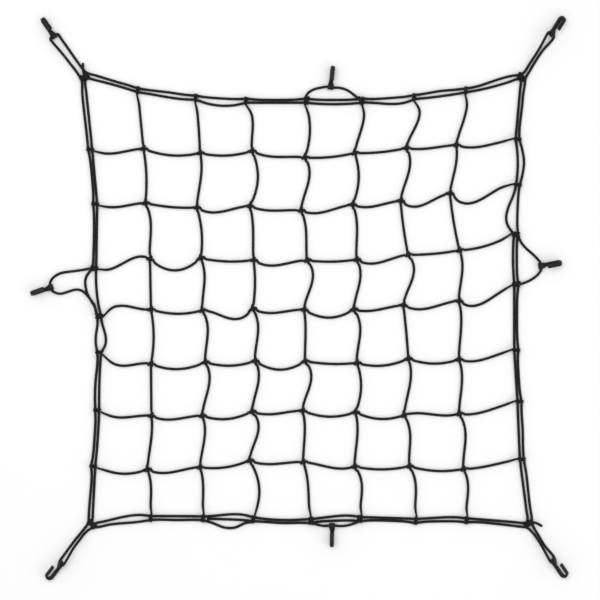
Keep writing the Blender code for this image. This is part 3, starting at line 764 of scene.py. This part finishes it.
def hook_matrix(side):
    """A hook's place: its barrel rests on the floor or on its own cord, and its bend tips to the floor."""
    across, down, heading, lean = HOOKS[side]
    slope = math.radians(lean)
    upright, aslant = math.cos(slope), abs(math.sin(slope))
    low_barrel = BARREL_RADIUS * upright + BARREL_HALF * aslant
    turned_cord = CORD_RADIUS + (BARREL_HALF + LEAD + TURN_RADIUS) * aslant
    height = max(low_barrel, turned_cord)
    low_bend = BARREL_RADIUS * upright + HOOK_HALF_WIDTH * aslant
    low_reach = HOOK_REACH - BEND_RADIUS * (1 - BEND_LEAN * aslant)
    pitch = math.asin((height - low_bend) / low_reach)
    turn = Euler((-pitch, slope, math.radians(heading) - math.pi / 2), "YXZ")
    return Matrix.Translation(Vector(place(across, down, height))) @ turn.to_matrix().to_4x4()


def at_hook(matrix, points):
    grid = np.array(matrix)
    return np.asarray(points) @ grid[:3, :3].T + grid[:3, 3]


def round_hook(side, way):
    """Cord from one end of the barrel round a quarter turn towards the net: a circle of the turn's radius."""
    straight = BARREL_HALF + LEAD
    angle = np.radians(ROUND_ANGLES)
    along = straight + TURN_RADIUS * np.sin(angle)
    back = -TURN_RADIUS * (1 - np.cos(angle))
    rows = [(way * BARREL_HALF, 0.0, 0.0), (way * straight, 0.0, 0.0)]
    rows += [(way * a, b, 0.0) for a, b in zip(along, back)]
    rows.append((way * (straight + TURN_RADIUS) * DRAWN_IN, ROUND_BACK, 0.0))
    return at_hook(hook_matrix(side), rows)


def raised(spots, hook_end, corner_knot):
    """Table places raised evenly, from the floor past the corner knot to the cord's height at the hook."""
    points = placed_spots(spots)
    whole = norms((hook_end - corner_knot)[:2])
    from_knot, from_hook = gaps_across(points, (corner_knot, hook_end)).T
    share = (from_knot - KNOT_CLEAR) / (whole - KNOT_CLEAR)
    nearer = from_hook < whole
    points[:, 2] += (hook_end[2] - CORD_RADIUS) * np.clip(share, 0.0, 1.0) * nearer
    return points


def corner_lay(corner):
    """The border cord out to a corner hook, through its barrel and back."""
    out_spots, back_spots = CORNER_LAYS[corner]
    knot = table_knot(*CORNER_KNOTS[corner])
    barrel_ends = at_hook(hook_matrix(corner), ((0.0, 0.0, 0.0), (1.0, 0.0, 0.0)))
    barrel_way = flat(barrel_ends[1] - barrel_ends[0])
    incoming = 1 if barrel_way.dot(place(*out_spots[-1]) - place(*back_spots[0])) > 0 else -1
    going_in = round_hook(corner, incoming)[::-1]
    coming_out = round_hook(corner, -incoming)
    return np.concatenate((
        raised(out_spots, going_in[0], knot), going_in, coming_out, raised(back_spots, coming_out[-1], knot),
    ))


def side_knots(name):
    """The knots of one side, in the order in which the border cord passes them."""
    forward = range(MESHES + 1)
    spots = {
        "bottom": [(MESHES, number) for number in forward],
        "right": [(number, MESHES) for number in reversed(forward)],
        "top": [(0, number) for number in reversed(forward)],
        "left": [(number, 0) for number in forward],
    }
    return [table_knot(*spot) for spot in spots[name]]


def border_side(name):
    """The border cord along one side, mesh by mesh: outside every knot but the first, and a little nearer
    between them, plus its bows. Next to a corner its lay at the corner takes over."""
    knots = side_knots(name)
    meshes = []
    for mesh, (start, end) in enumerate(zip(knots, knots[1:])):
        chord = end - start
        away = unit((chord[1], -chord[0], 0.0))
        bow, shape = BORDER_BOWS.get((name, mesh), (0.0, "m"))
        shares = BORDER_SHARES if bow else BORDER_SHARES[::2]
        if mesh == 0:
            shares = shares[-1:]
        elif mesh == MESHES - 1:
            shares = shares[:1]
        points = [start + WAYS[name] * (BORDER_AT_KNOT * STEP)] if mesh else []
        for share in shares:
            offset = (BORDER_BETWEEN + bow * bow_share(shape, share)) * STEP
            points.append(start + chord * share + away * offset)
        meshes.append(points)
    return meshes


def border_path():
    """The border cord starts inside the bottom edge, runs round the net and ends beside its own start."""
    bottom = border_side("bottom")
    own = BORDER_OWN_MESH
    parts = [[place(*BORDER_START)], bottom[own][2:], *bottom[own + 1:]]
    for corner, side in zip(CORNER_KNOTS, ("right", "top", "left", None)):
        parts.append(corner_lay(corner))
        if side:
            parts.extend(border_side(side))
    parts += [*bottom[:own], bottom[own][:1], placed_spots(BORDER_END_LAY + BORDER_END_TUCK)]
    return lifted_at_knots(gripped(kept_up(relaxed(smooth(np.concatenate(parts)), *edge_holds()))))


def over_border(path, border, every=4, span=31):
    """Lifts a path over the border cord, height >= border height + sqrt(d^2 - gap^2) for cords a diameter d
    thick, and eases the rise by a moving average of the heights over a span of points."""
    border = border[::every]
    gap = gaps_across(path, border)
    nearest = gap.argmin(1)
    gap = gap.min(1)
    over = border[nearest, 2] + np.sqrt(np.maximum((2 * CORD_RADIUS) ** 2 - gap**2, 0.0))
    kept_up(path, np.where(gap < 2 * CORD_RADIUS, over, 0.0))
    weights = np.hanning(span)
    padded = np.pad(path[:, 2], span // 2, mode="edge")
    return kept_up(path, np.convolve(padded, weights / weights.sum(), mode="valid"))


def loop_paths(side, border, skip=12, every=6):
    """A side loop: turned round the edge at one knot, through its hook's barrel, turned round the edge at the
    next. Returns the free cord between its ties, and the two ties. The first and last points of the cord's
    lay are left out, so that it runs into its ties by itself."""
    out_points, back_points = (placed_spots(spots) for spots in SIDE_LOOPS[side])
    fars = (BARREL_HALF + LEAD * 2, BARREL_HALF)
    ends = [at_hook(hook_matrix(side), [(way * far, 0.0, 0.0) for far in fars]) for way in (1, -1)]
    ends.sort(key=lambda end: norms(end[0] - out_points[-1]))
    path = np.concatenate((out_points, ends[0], ends[1][::-1], back_points))
    path = over_border(kept_up(relaxed(smooth(path), *hook_holds())), border)
    turns = []
    centres = []
    for knot, near, far in zip(LOOP_KNOTS[side], (path[0], path[-1]), (path[-1], path[0])):
        centre, along, outward = edge_frame(*knot)
        towards = along * np.sign(along.dot(far - near))
        centres.append(centre + towards * LOOP_TIE_OFFSET)
        turns.append(edge_turns(centres[-1], towards, outward, first=60.0, last=390.0, pitch=0.0036))
    whole = kept_up(smooth(np.concatenate((turns[0][::-1], path[skip:-skip:every], turns[1]))))
    away = (gaps_across(whole, centres) > TIE_REACH).all(1)
    start, end = np.flatnonzero(away)[[0, -1]]
    return whole[start:end + 1], whole[:start + 1], whole[end:]


# --- The moulded hook ---


def soft_box(angle, half_width, half_height, squareness=5.0):
    """Superellipse: x = w sign(cos a) |cos a|^(2/n), z = h sign(sin a) |sin a|^(2/n)."""
    x, z = flattened(angle, 2.0 / squareness)
    return half_width[:, None] * x, half_height[:, None] * z


def hook_j(surface):
    """The J: a soft box carried along its middle line, with a groove down both flanks and a rounded tip.
    Middle line: straight shank, half an ellipse, straight tip."""
    shank_z = -BARREL_RADIUS + SHANK_THICK / 2
    tip_z = -BARREL_RADIUS + SHANK_THICK + THROAT + TIP_THICK / 2
    bend_y = HOOK_REACH - BEND_RADIUS
    apex = HOOK_REACH - SHANK_THICK / 2 - bend_y
    rise = (tip_z - shank_z) / 2
    tip_y = bend_y - TIP_LENGTH
    shank = np.linspace(SHANK_START, bend_y, SHANK_RINGS)
    turn = np.linspace(-math.pi / 2, math.pi / 2, BEND_RINGS)[1:]
    tip = np.linspace(bend_y, tip_y, TIP_RINGS)[1:]
    y = np.concatenate((shank, bend_y + apex * np.cos(turn), tip))
    z = np.concatenate((
        np.full(len(shank), shank_z), shank_z + rise + rise * np.sin(turn), np.full(len(tip), tip_z),
    ))
    stage = np.concatenate((np.zeros(len(shank)), (turn + math.pi / 2) / math.pi, np.ones(len(tip))))
    on_tip = stage == 1.0
    # the tip is a half round: both half sizes follow sqrt(1 - t^2) over the last stretch
    end = np.clip((tip_y + TIP_THICK / 2 - y) / (TIP_THICK / 2), 0.0, TIP_ROUND) * on_tip
    rounding = np.sqrt(1 - end**2)
    thick = (SHANK_THICK / 2 + (TIP_THICK - SHANK_THICK) / 2 * smooth_step(stage)) * rounding
    width = HOOK_HALF_WIDTH - HOOK_HALF_WIDTH * TIP_NARROWING * (1 - rounding)
    way = unit(np.stack((np.gradient(y), np.gradient(z)), axis=1))
    across, out = soft_box(round_angles(HOOK_SIDES), width, thick)
    groove = np.clip(1 - (out / (GROOVE_WIDTH * thick[:, None])) ** 2, 0.0, 1.0)
    to_tip = np.where(on_tip, (y - tip_y - GROOVE_TIP_GAP) / GROOVE_FADE, 1.0)
    fade = np.clip(np.minimum((y - GROOVE_START) / GROOVE_FADE, to_tip), 0, 1)[:, None]
    on_flank = np.abs(across) > 0.5 * width[:, None]
    across = across - np.sign(across) * GROOVE_DEPTH * np.sqrt(groove) * fade * on_flank
    grid = np.stack((across, y[:, None] - out * way[:, 1:2], z[:, None] + out * way[:, :1]), axis=-1)
    surface.add_solid(grid, np.linspace(0, 1, len(y)))


def hook_root(surface):
    """The root between barrel and shank: a soft box that narrows along Y by a smooth step."""
    share = np.linspace(0.0, 1.0, ROOT_RINGS)
    ease = smooth_step(share)
    y = ROOT_START + (ROOT_LENGTH - ROOT_START) * share
    width = ROOT_HALF_WIDTH + (HOOK_HALF_WIDTH - SUNK - ROOT_HALF_WIDTH) * ease
    low = -BARREL_RADIUS + ROOT_BOTTOM
    high = ROOT_TOP + (-BARREL_RADIUS + SHANK_THICK - SUNK - ROOT_TOP) * ease
    across, out = soft_box(round_angles(HOOK_SIDES), width, (high - low) / 2)
    y = np.repeat(y[:, None], HOOK_SIDES, axis=1)
    surface.add_solid(np.stack((across, y, out + ((high + low) / 2)[:, None]), axis=-1), share)


def hook_barrel(surface):
    """The barrel: a closed ring section turned about X, with rounded lips outside and in the cord hole."""
    quarter = np.linspace(0, math.pi / 2, LIP_POINTS)
    x = np.concatenate((
        BARREL_HALF - LIP + LIP * np.sin(quarter), BARREL_HALF - HOLE_LIP + HOLE_LIP * np.cos(quarter),
    ))
    radius = np.concatenate((
        BARREL_RADIUS - LIP + LIP * np.cos(quarter),
        CORD_HOLE_RADIUS + HOLE_LIP - HOLE_LIP * np.sin(quarter),
    ))
    x = np.concatenate((x, -x[::-1]))
    radius = np.concatenate((radius, radius[::-1]))
    angle = np.linspace(0, 2 * math.pi, HOOK_SIDES + 1)
    grid = np.stack((
        np.outer(np.ones(len(angle)), x), np.outer(np.cos(angle), radius), np.outer(np.sin(angle), radius),
    ), axis=-1)
    grid[-1] = grid[0]
    surface.add_grid(grid[:, ::-1], angle)


def moulded_hook():
    """One hook in its own frame: J, root and barrel fused by a fine remesh, so that every inner corner is
    filleted."""
    surface = Surface()
    for part in (hook_j, hook_root, hook_barrel):
        part(surface)
    mesh = surface.mesh("hook_blank")
    blank = new_object("hook_blank", mesh)
    for kind, values in HOOK_FINISH:
        with_values(blank.modifiers.new(kind.lower(), kind), **values)
    graph = bpy.context.evaluated_depsgraph_get()
    made = bpy.data.meshes.new_from_object(blank.evaluated_get(graph))
    bpy.data.objects.remove(blank, do_unlink=True)
    bpy.data.meshes.remove(mesh)
    return made


# --- Materials ---


class Finish:
    """Builds the nodes of one material. An input is given a number, a colour or another node's socket."""

    def __init__(self, name):
        self.material = bpy.data.materials.new(name)
        self.material.use_nodes = True
        self.tree = self.material.node_tree

    def fill(self, node, inputs):
        """Sets or links the named or numbered inputs of a node."""
        for key, value in inputs.items():
            if isinstance(value, bpy.types.NodeSocket):
                self.tree.links.new(value, node.inputs[key])
            else:
                node.inputs[key].default_value = value
        return node

    def add(self, kind, inputs, **settings):
        return self.fill(with_values(self.tree.nodes.new(kind), **settings), inputs)

    def math(self, operation, *values, clamp=False):
        inputs = dict(enumerate(values))
        return self.add("ShaderNodeMath", inputs, operation=operation, use_clamp=clamp).outputs[0]

    def scaled(self, value, factor, addend=0.0, clamp=False):
        """value * factor + addend, held between 0 and 1 if clamp is set."""
        return self.math("MULTIPLY_ADD", value, factor, addend, clamp=clamp)

    def total(self, first, *others):
        for other in others:
            first = self.math("ADD", first, other)
        return first

    def either(self, factor, first, second):
        """The first value where the factor is 0, the second where it is 1."""
        inputs = {0: factor, 2: first, 3: second}
        return self.add("ShaderNodeMix", inputs, data_type="FLOAT").outputs[0]

    def colours(self, factor, first, second):
        inputs = {"Factor": factor, "A": first, "B": second}
        return self.add("ShaderNodeMix", inputs, data_type="RGBA").outputs["Result"]

    def parts(self, vector):
        return self.add("ShaderNodeSeparateXYZ", {0: vector}).outputs

    def noise(self, vector, scale, detail):
        inputs = {"Vector": vector, "Scale": scale, "Detail": detail}
        return self.add("ShaderNodeTexNoise", inputs).outputs["Fac"]

    def bump(self, relief, strength, distance):
        inputs = {"Height": relief, "Strength": strength, "Distance": distance}
        return self.add("ShaderNodeBump", inputs).outputs["Normal"]

    def finished(self, inputs):
        self.fill(self.tree.nodes["Principled BSDF"], inputs)
        return self.material


def tinted(colour, times=1.0):
    """A colour made lighter or darker, with its alpha."""
    return (*[part * times for part in colour], 1.0)


def braid_material(settings):
    """Braided sheath. With a = n u + v / p and b = n u - v / p, strands of one family run along each a and
    of the other along each b. Where floor(a) + floor(b) is even the first family lies on top, elsewhere the
    second: the height is sin(pi frac) ^ 0.5 across the upper strand, times 0.55 to 1 along it, and filaments
    are sines across it. The colour follows the height: painted shade darkens the grooves and a painted
    highlight lightens the crowns. Noise varies colour and roughness."""
    made = Finish("braided_cord")
    lay = made.parts(made.add("ShaderNodeUVMap", {}, uv_map="lay").outputs["UV"])
    around = made.math("MULTIPLY", lay["X"], float(settings.strands))
    along = made.math("DIVIDE", lay["Y"], settings.braid_pitch)
    lanes, crowns, yarns = [], [], []
    for operation in ("ADD", "SUBTRACT"):
        lane = made.math(operation, around, along)
        share = made.math("FRACT", lane)
        lanes.append(made.math("FLOOR", lane))
        for waves, angle in ((crowns, math.pi), (yarns, 2 * math.pi * settings.filaments)):
            waves.append(made.math("SINE", made.math("MULTIPLY", share, angle)))
    parity = made.math("ABSOLUTE", made.math("MODULO", made.total(*lanes), 2.0))
    second_on_top = made.math("GREATER_THAN", parity, 0.5)
    upper = made.either(second_on_top, *crowns)
    lower = made.either(second_on_top, *crowns[::-1])
    yarn = made.either(second_on_top, *yarns)
    height = made.math("MULTIPLY", made.math("POWER", upper, 0.5), made.scaled(lower, 0.45, 0.55))
    places = made.add("ShaderNodeTexCoord", {}).outputs["Object"]
    fuzz = made.noise(places, scale=1400.0, detail=3.0)
    patches = made.noise(places, scale=16.0, detail=2.0)
    relief = made.total(height, made.scaled(yarn, 0.07), made.scaled(fuzz, 0.22, -0.11))
    # Painted light: the height colours the braid, with painted shade in the grooves and a painted highlight
    # on the crowns; the fuzz noise in the height adds random tone
    painted_light_ramp = made.add("ShaderNodeValToRGB", {"Fac": relief})
    for stop, position, times in zip(painted_light_ramp.color_ramp.elements, (0.25, 1.0), (0.25, 1.7)):
        with_values(stop, position=position, color=tinted(settings.sheath, times))
    worn = made.scaled(patches, 0.9, -0.33, clamp=True)
    return made.finished({
        "Base Color": made.colours(worn, painted_light_ramp.outputs["Color"], tinted(settings.sheath, 1.9)),
        "Roughness": made.scaled(fuzz, 0.25, 0.48),
        "Specular IOR Level": 0.16,
        "Sheen Weight": 0.04,
        "Sheen Roughness": 0.5,
        "Normal": made.bump(relief, strength=0.9, distance=0.00035),
    })


def moulded_material(settings):
    """Moulded plastic: near black and satin, with a fine grain, flow marks, a parting line where the two
    halves of the mould met, at x = 0 in the hook's own frame, and edges worn a little paler."""
    made = Finish("moulded_plastic")
    own = made.add("ShaderNodeAttribute", {}, attribute_name="mould").outputs["Vector"]
    grain = made.noise(own, scale=2600.0, detail=2.0)
    flow = made.noise(own, scale=150.0, detail=4.0)
    off_line = made.math("DIVIDE", made.math("ABSOLUTE", made.parts(own)["X"]), settings.parting_width)
    parting = made.math("MAXIMUM", made.scaled(off_line, -1.0, 1.0), 0.0)
    pointed = made.add("ShaderNodeNewGeometry", {}).outputs["Pointiness"]
    worn_edge = made.math("MULTIPLY", made.scaled(pointed, 9.0, -4.75, clamp=True), flow)
    pale = made.math("MAXIMUM", worn_edge, made.scaled(parting, 0.25))
    relief = made.total(made.scaled(grain, 0.35), parting, made.scaled(flow, 0.5))
    return made.finished({
        "Base Color": made.colours(pale, tinted(settings.plastic), tinted(settings.plastic, 4.0)),
        "Roughness": made.scaled(flow, 0.26, 0.24),
        "Specular IOR Level": 0.20,
        "Normal": made.bump(relief, strength=0.5, distance=0.00012),
    })


def floor_material(settings):
    inputs = {"Base Color": tinted(settings.floor), "Roughness": 0.9, "Specular IOR Level": 0.1}
    return Finish("pale_floor").finished(inputs)


# --- Settings ---


class CordSettings(bpy.types.PropertyGroup):
    diameter: FloatProperty(
        name="Cord diameter", description="Thickness of the elastic cord", default=2 * CORD_RADIUS,
        min=0.002, max=0.010, unit="LENGTH",
    )
    sides: IntProperty(name="Sides", description="Faces round each cord", default=12, min=6, max=24)
    strands: IntProperty(
        name="Strands", description="Strands of the braid that run one way round the sheath",
        default=8, min=4, max=24,
    )
    braid_pitch: FloatProperty(
        name="Braid pitch", description="Length of cord from one crossing of the braid to the next",
        default=0.0021, min=0.0005, max=0.01, unit="LENGTH",
    )
    filaments: IntProperty(
        name="Filaments", description="Fine yarns side by side in a strand", default=5, min=1, max=12,
    )
    sheath: FloatVectorProperty(
        name="Sheath colour", description="Colour of the braided sheath", subtype="COLOR",
        default=(0.0070, 0.0070, 0.0076), min=0.0, max=1.0,
    )


class HookSettings(bpy.types.PropertyGroup):
    plastic: FloatVectorProperty(
        name="Plastic colour", description="Colour of the moulded hooks", subtype="COLOR",
        default=(0.0070, 0.0070, 0.0076), min=0.0, max=1.0,
    )
    parting_width: FloatProperty(
        name="Parting line", description="Half width of the raised line where the mould closed",
        default=0.00018, min=0.00002, max=0.001, unit="LENGTH",
    )


class StageSettings(bpy.types.PropertyGroup):
    floor: FloatVectorProperty(
        name="Floor colour", description="Colour of the floor under the net", subtype="COLOR",
        default=(0.90, 0.90, 0.90), min=0.0, max=1.0,
    )
    floor_size: FloatProperty(
        name="Floor size", description="Side of the square floor", default=14.0,
        min=2.0, max=50.0, unit="LENGTH",
    )
    camera_height: FloatProperty(
        name="Camera height", description="Height of the camera above the floor", default=4.50,
        min=1.0, max=10.0, unit="LENGTH",
    )
    view_width: FloatProperty(
        name="View width", description="Width of floor that the camera takes in",
        default=2 * VIEW_MIDDLE * STEP, min=0.2, max=5.0, unit="LENGTH",
    )


# --- Operators ---


class CARGONET_OT_net(bpy.types.Operator):
    """Tie the net: its zigzag cords with their knots, its own edge cord, the corner turns and two cut ends"""

    bl_idname = "cargonet.net"
    bl_label = "Tie the net"

    def execute(self, context):
        starts = [(row, 0) for row in range(1, MESHES)] + [(MESHES, column) for column in range(1, MESHES)]
        cords = [path_and_radius(net_chain(*start)) for start in starts]
        cords.append((thin_out(selvedge()), CORD_RADIUS))
        cords += [(thin_out(smooth(corner_turns(corner))), CORNER_TURN_RADIUS) for corner in CORNER_KNOTS]
        cords += [(thin_out(smooth(placed_spots(spots))), CORD_RADIUS) for spots in TAILS.values()]
        scale = context.scene.cargonet_cord.diameter / (2 * CORD_RADIUS)
        staggers = [CHAIN_STAGGER * number for number in range(len(starts))]
        net = corded(context, "knotted_net", [(path, radius * scale) for path, radius in cords], staggers)
        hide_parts("net_mesh")
        return {"FINISHED"}


class CARGONET_OT_border(bpy.types.Operator):
    """Lay the border cord round the net and through the corner hooks"""

    bl_idname = "cargonet.border"
    bl_label = "Lay the border cord"

    def execute(self, context):
        radius = context.scene.cargonet_cord.diameter / 2
        border = corded(context, "border_braid", [(thin_out(border_path()), radius)])
        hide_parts("border_cord")
        return {"FINISHED"}


class CARGONET_OT_loops(bpy.types.Operator):
    """Tie the four side loops on and pass them through their hooks"""

    bl_idname = "cargonet.loops"
    bl_label = "Tie the side loops"

    def execute(self, context):
        border = border_path()
        radius = context.scene.cargonet_cord.diameter / 2 * LOOP_SHARE
        for side in SIDE_LOOPS:
            free, *ends = (thin_out(path) for path in loop_paths(side, border))
            loop = corded(context, f"side_loop_{side}", [(free, radius)])
            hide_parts(f"loop_{side}")
            tied_ends = []
            for path, joined in zip(ends, free[[0, -1]]):
                away = np.clip(norms(path - joined) / TIE_TAPER, 0.0, 1.0)
                tied_ends.append((path, radius + (TIE_RADIUS - radius) * away))
            ties = corded(context, f"loop_ties_{side}", tied_ends)
        return {"FINISHED"}


class CARGONET_OT_hooks(bpy.types.Operator):
    """Mould the eight hooks and set each on its cord"""

    bl_idname = "cargonet.hooks"
    bl_label = "Mould the hooks"

    def execute(self, context):
        settings = context.scene.cargonet_hook
        material = moulded_material(settings)
        blank = moulded_hook()
        own_places = np.empty(len(blank.vertices) * 3, np.float32)
        blank.vertices.foreach_get("co", own_places)
        blank.attributes.new("mould", "FLOAT_VECTOR", "POINT").data.foreach_set("vector", own_places)
        for side in HOOKS:
            mesh = blank.copy()
            mesh.name = f"moulded_hook_{side}"
            mesh.transform(hook_matrix(side))
            mesh.polygons.foreach_set("use_smooth", np.ones(len(mesh.polygons), bool))
            hook = new_piece(mesh, material)
            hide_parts(f"hook_{side}")
        bpy.data.meshes.remove(blank)
        return {"FINISHED"}


class CARGONET_OT_stage(bpy.types.Operator):
    """Set the floor, the soft studio lights and the camera straight above"""

    bl_idname = "cargonet.stage"
    bl_label = "Set the stage"

    def execute(self, context):
        settings = context.scene.cargonet_stage
        scene = context.scene
        half = settings.floor_size / 2
        mesh = bpy.data.meshes.new("floor")
        corners = [(-half, -half, 0), (half, -half, 0), (half, half, 0), (-half, half, 0)]
        mesh.from_pydata(corners, [], [(0, 1, 2, 3)])
        mesh.materials.append(floor_material(settings))
        floor = new_object("floor", mesh)
        scene.world = bpy.data.worlds.new("studio")
        scene.world.use_nodes = True
        for key, value in SKY.items():
            scene.world.node_tree.nodes["Background"].inputs[key].default_value = value
        for name, spot, size, power in LAMPS:
            light = with_values(bpy.data.lights.new(name, "AREA"), shape="SQUARE", size=size, energy=power)
            turn = (-Vector(spot)).to_track_quat("-Z", "Y").to_euler()
            with_values(new_object(name, light), location=spot, rotation_euler=turn)
        camera = bpy.data.cameras.new("above")
        camera.sensor_width = SENSOR_WIDTH
        camera.lens = SENSOR_WIDTH * settings.camera_height / settings.view_width
        scene.camera = new_object("above", camera)
        scene.camera.location = (*place(VIEW_MIDDLE, VIEW_MIDDLE)[:2], settings.camera_height)
        scene.view_settings.view_transform = "Standard"
        return {"FINISHED"}


def corded(context, name, cords, staggers=()):
    """One piece of braided cord: paths with their radii, and how far along the braid of each begins."""
    settings = context.scene.cargonet_cord
    surface = Surface()
    for (path, radius), start_at in zip_longest(cords, staggers, fillvalue=0.0):
        add_cord(surface, path, radius, settings.sides, start_at)
    material = bpy.data.materials.get("braided_cord") or braid_material(settings)
    return new_piece(surface.mesh(name), material)


class CARGONET_PT_panel(bpy.types.Panel):
    """Sizes, colours and steps of the cargo net"""

    bl_label = "Cargo net"
    bl_idname = "CARGONET_PT_panel"
    bl_space_type = "VIEW_3D"
    bl_region_type = "UI"
    bl_category = "Cargo net"

    def draw(self, context):
        layout = self.layout
        for group in (context.scene.cargonet_cord, context.scene.cargonet_hook, context.scene.cargonet_stage):
            box = layout.box()
            for name in group.__annotations__:
                box.prop(group, name)
        for operator in OPERATORS:
            layout.operator(operator.bl_idname)


OPERATORS = (CARGONET_OT_stage, CARGONET_OT_net, CARGONET_OT_border, CARGONET_OT_loops, CARGONET_OT_hooks)
CLASSES = (CordSettings, HookSettings, StageSettings, *OPERATORS, CARGONET_PT_panel)


def register():
    for item in CLASSES:
        bpy.utils.register_class(item)
    bpy.types.Scene.cargonet_cord = PointerProperty(type=CordSettings)
    bpy.types.Scene.cargonet_hook = PointerProperty(type=HookSettings)
    bpy.types.Scene.cargonet_stage = PointerProperty(type=StageSettings)


def unregister():
    del bpy.types.Scene.cargonet_cord
    del bpy.types.Scene.cargonet_hook
    del bpy.types.Scene.cargonet_stage
    for item in reversed(CLASSES):
        bpy.utils.unregister_class(item)


def main():
    register()
    for step in (
        bpy.ops.cargonet.stage, bpy.ops.cargonet.net, bpy.ops.cargonet.border,
        bpy.ops.cargonet.loops, bpy.ops.cargonet.hooks,
    ):
        if step() != {"FINISHED"}:
            raise RuntimeError("a step of the cargo net was cancelled")


if __name__ == "__main__":
    main()
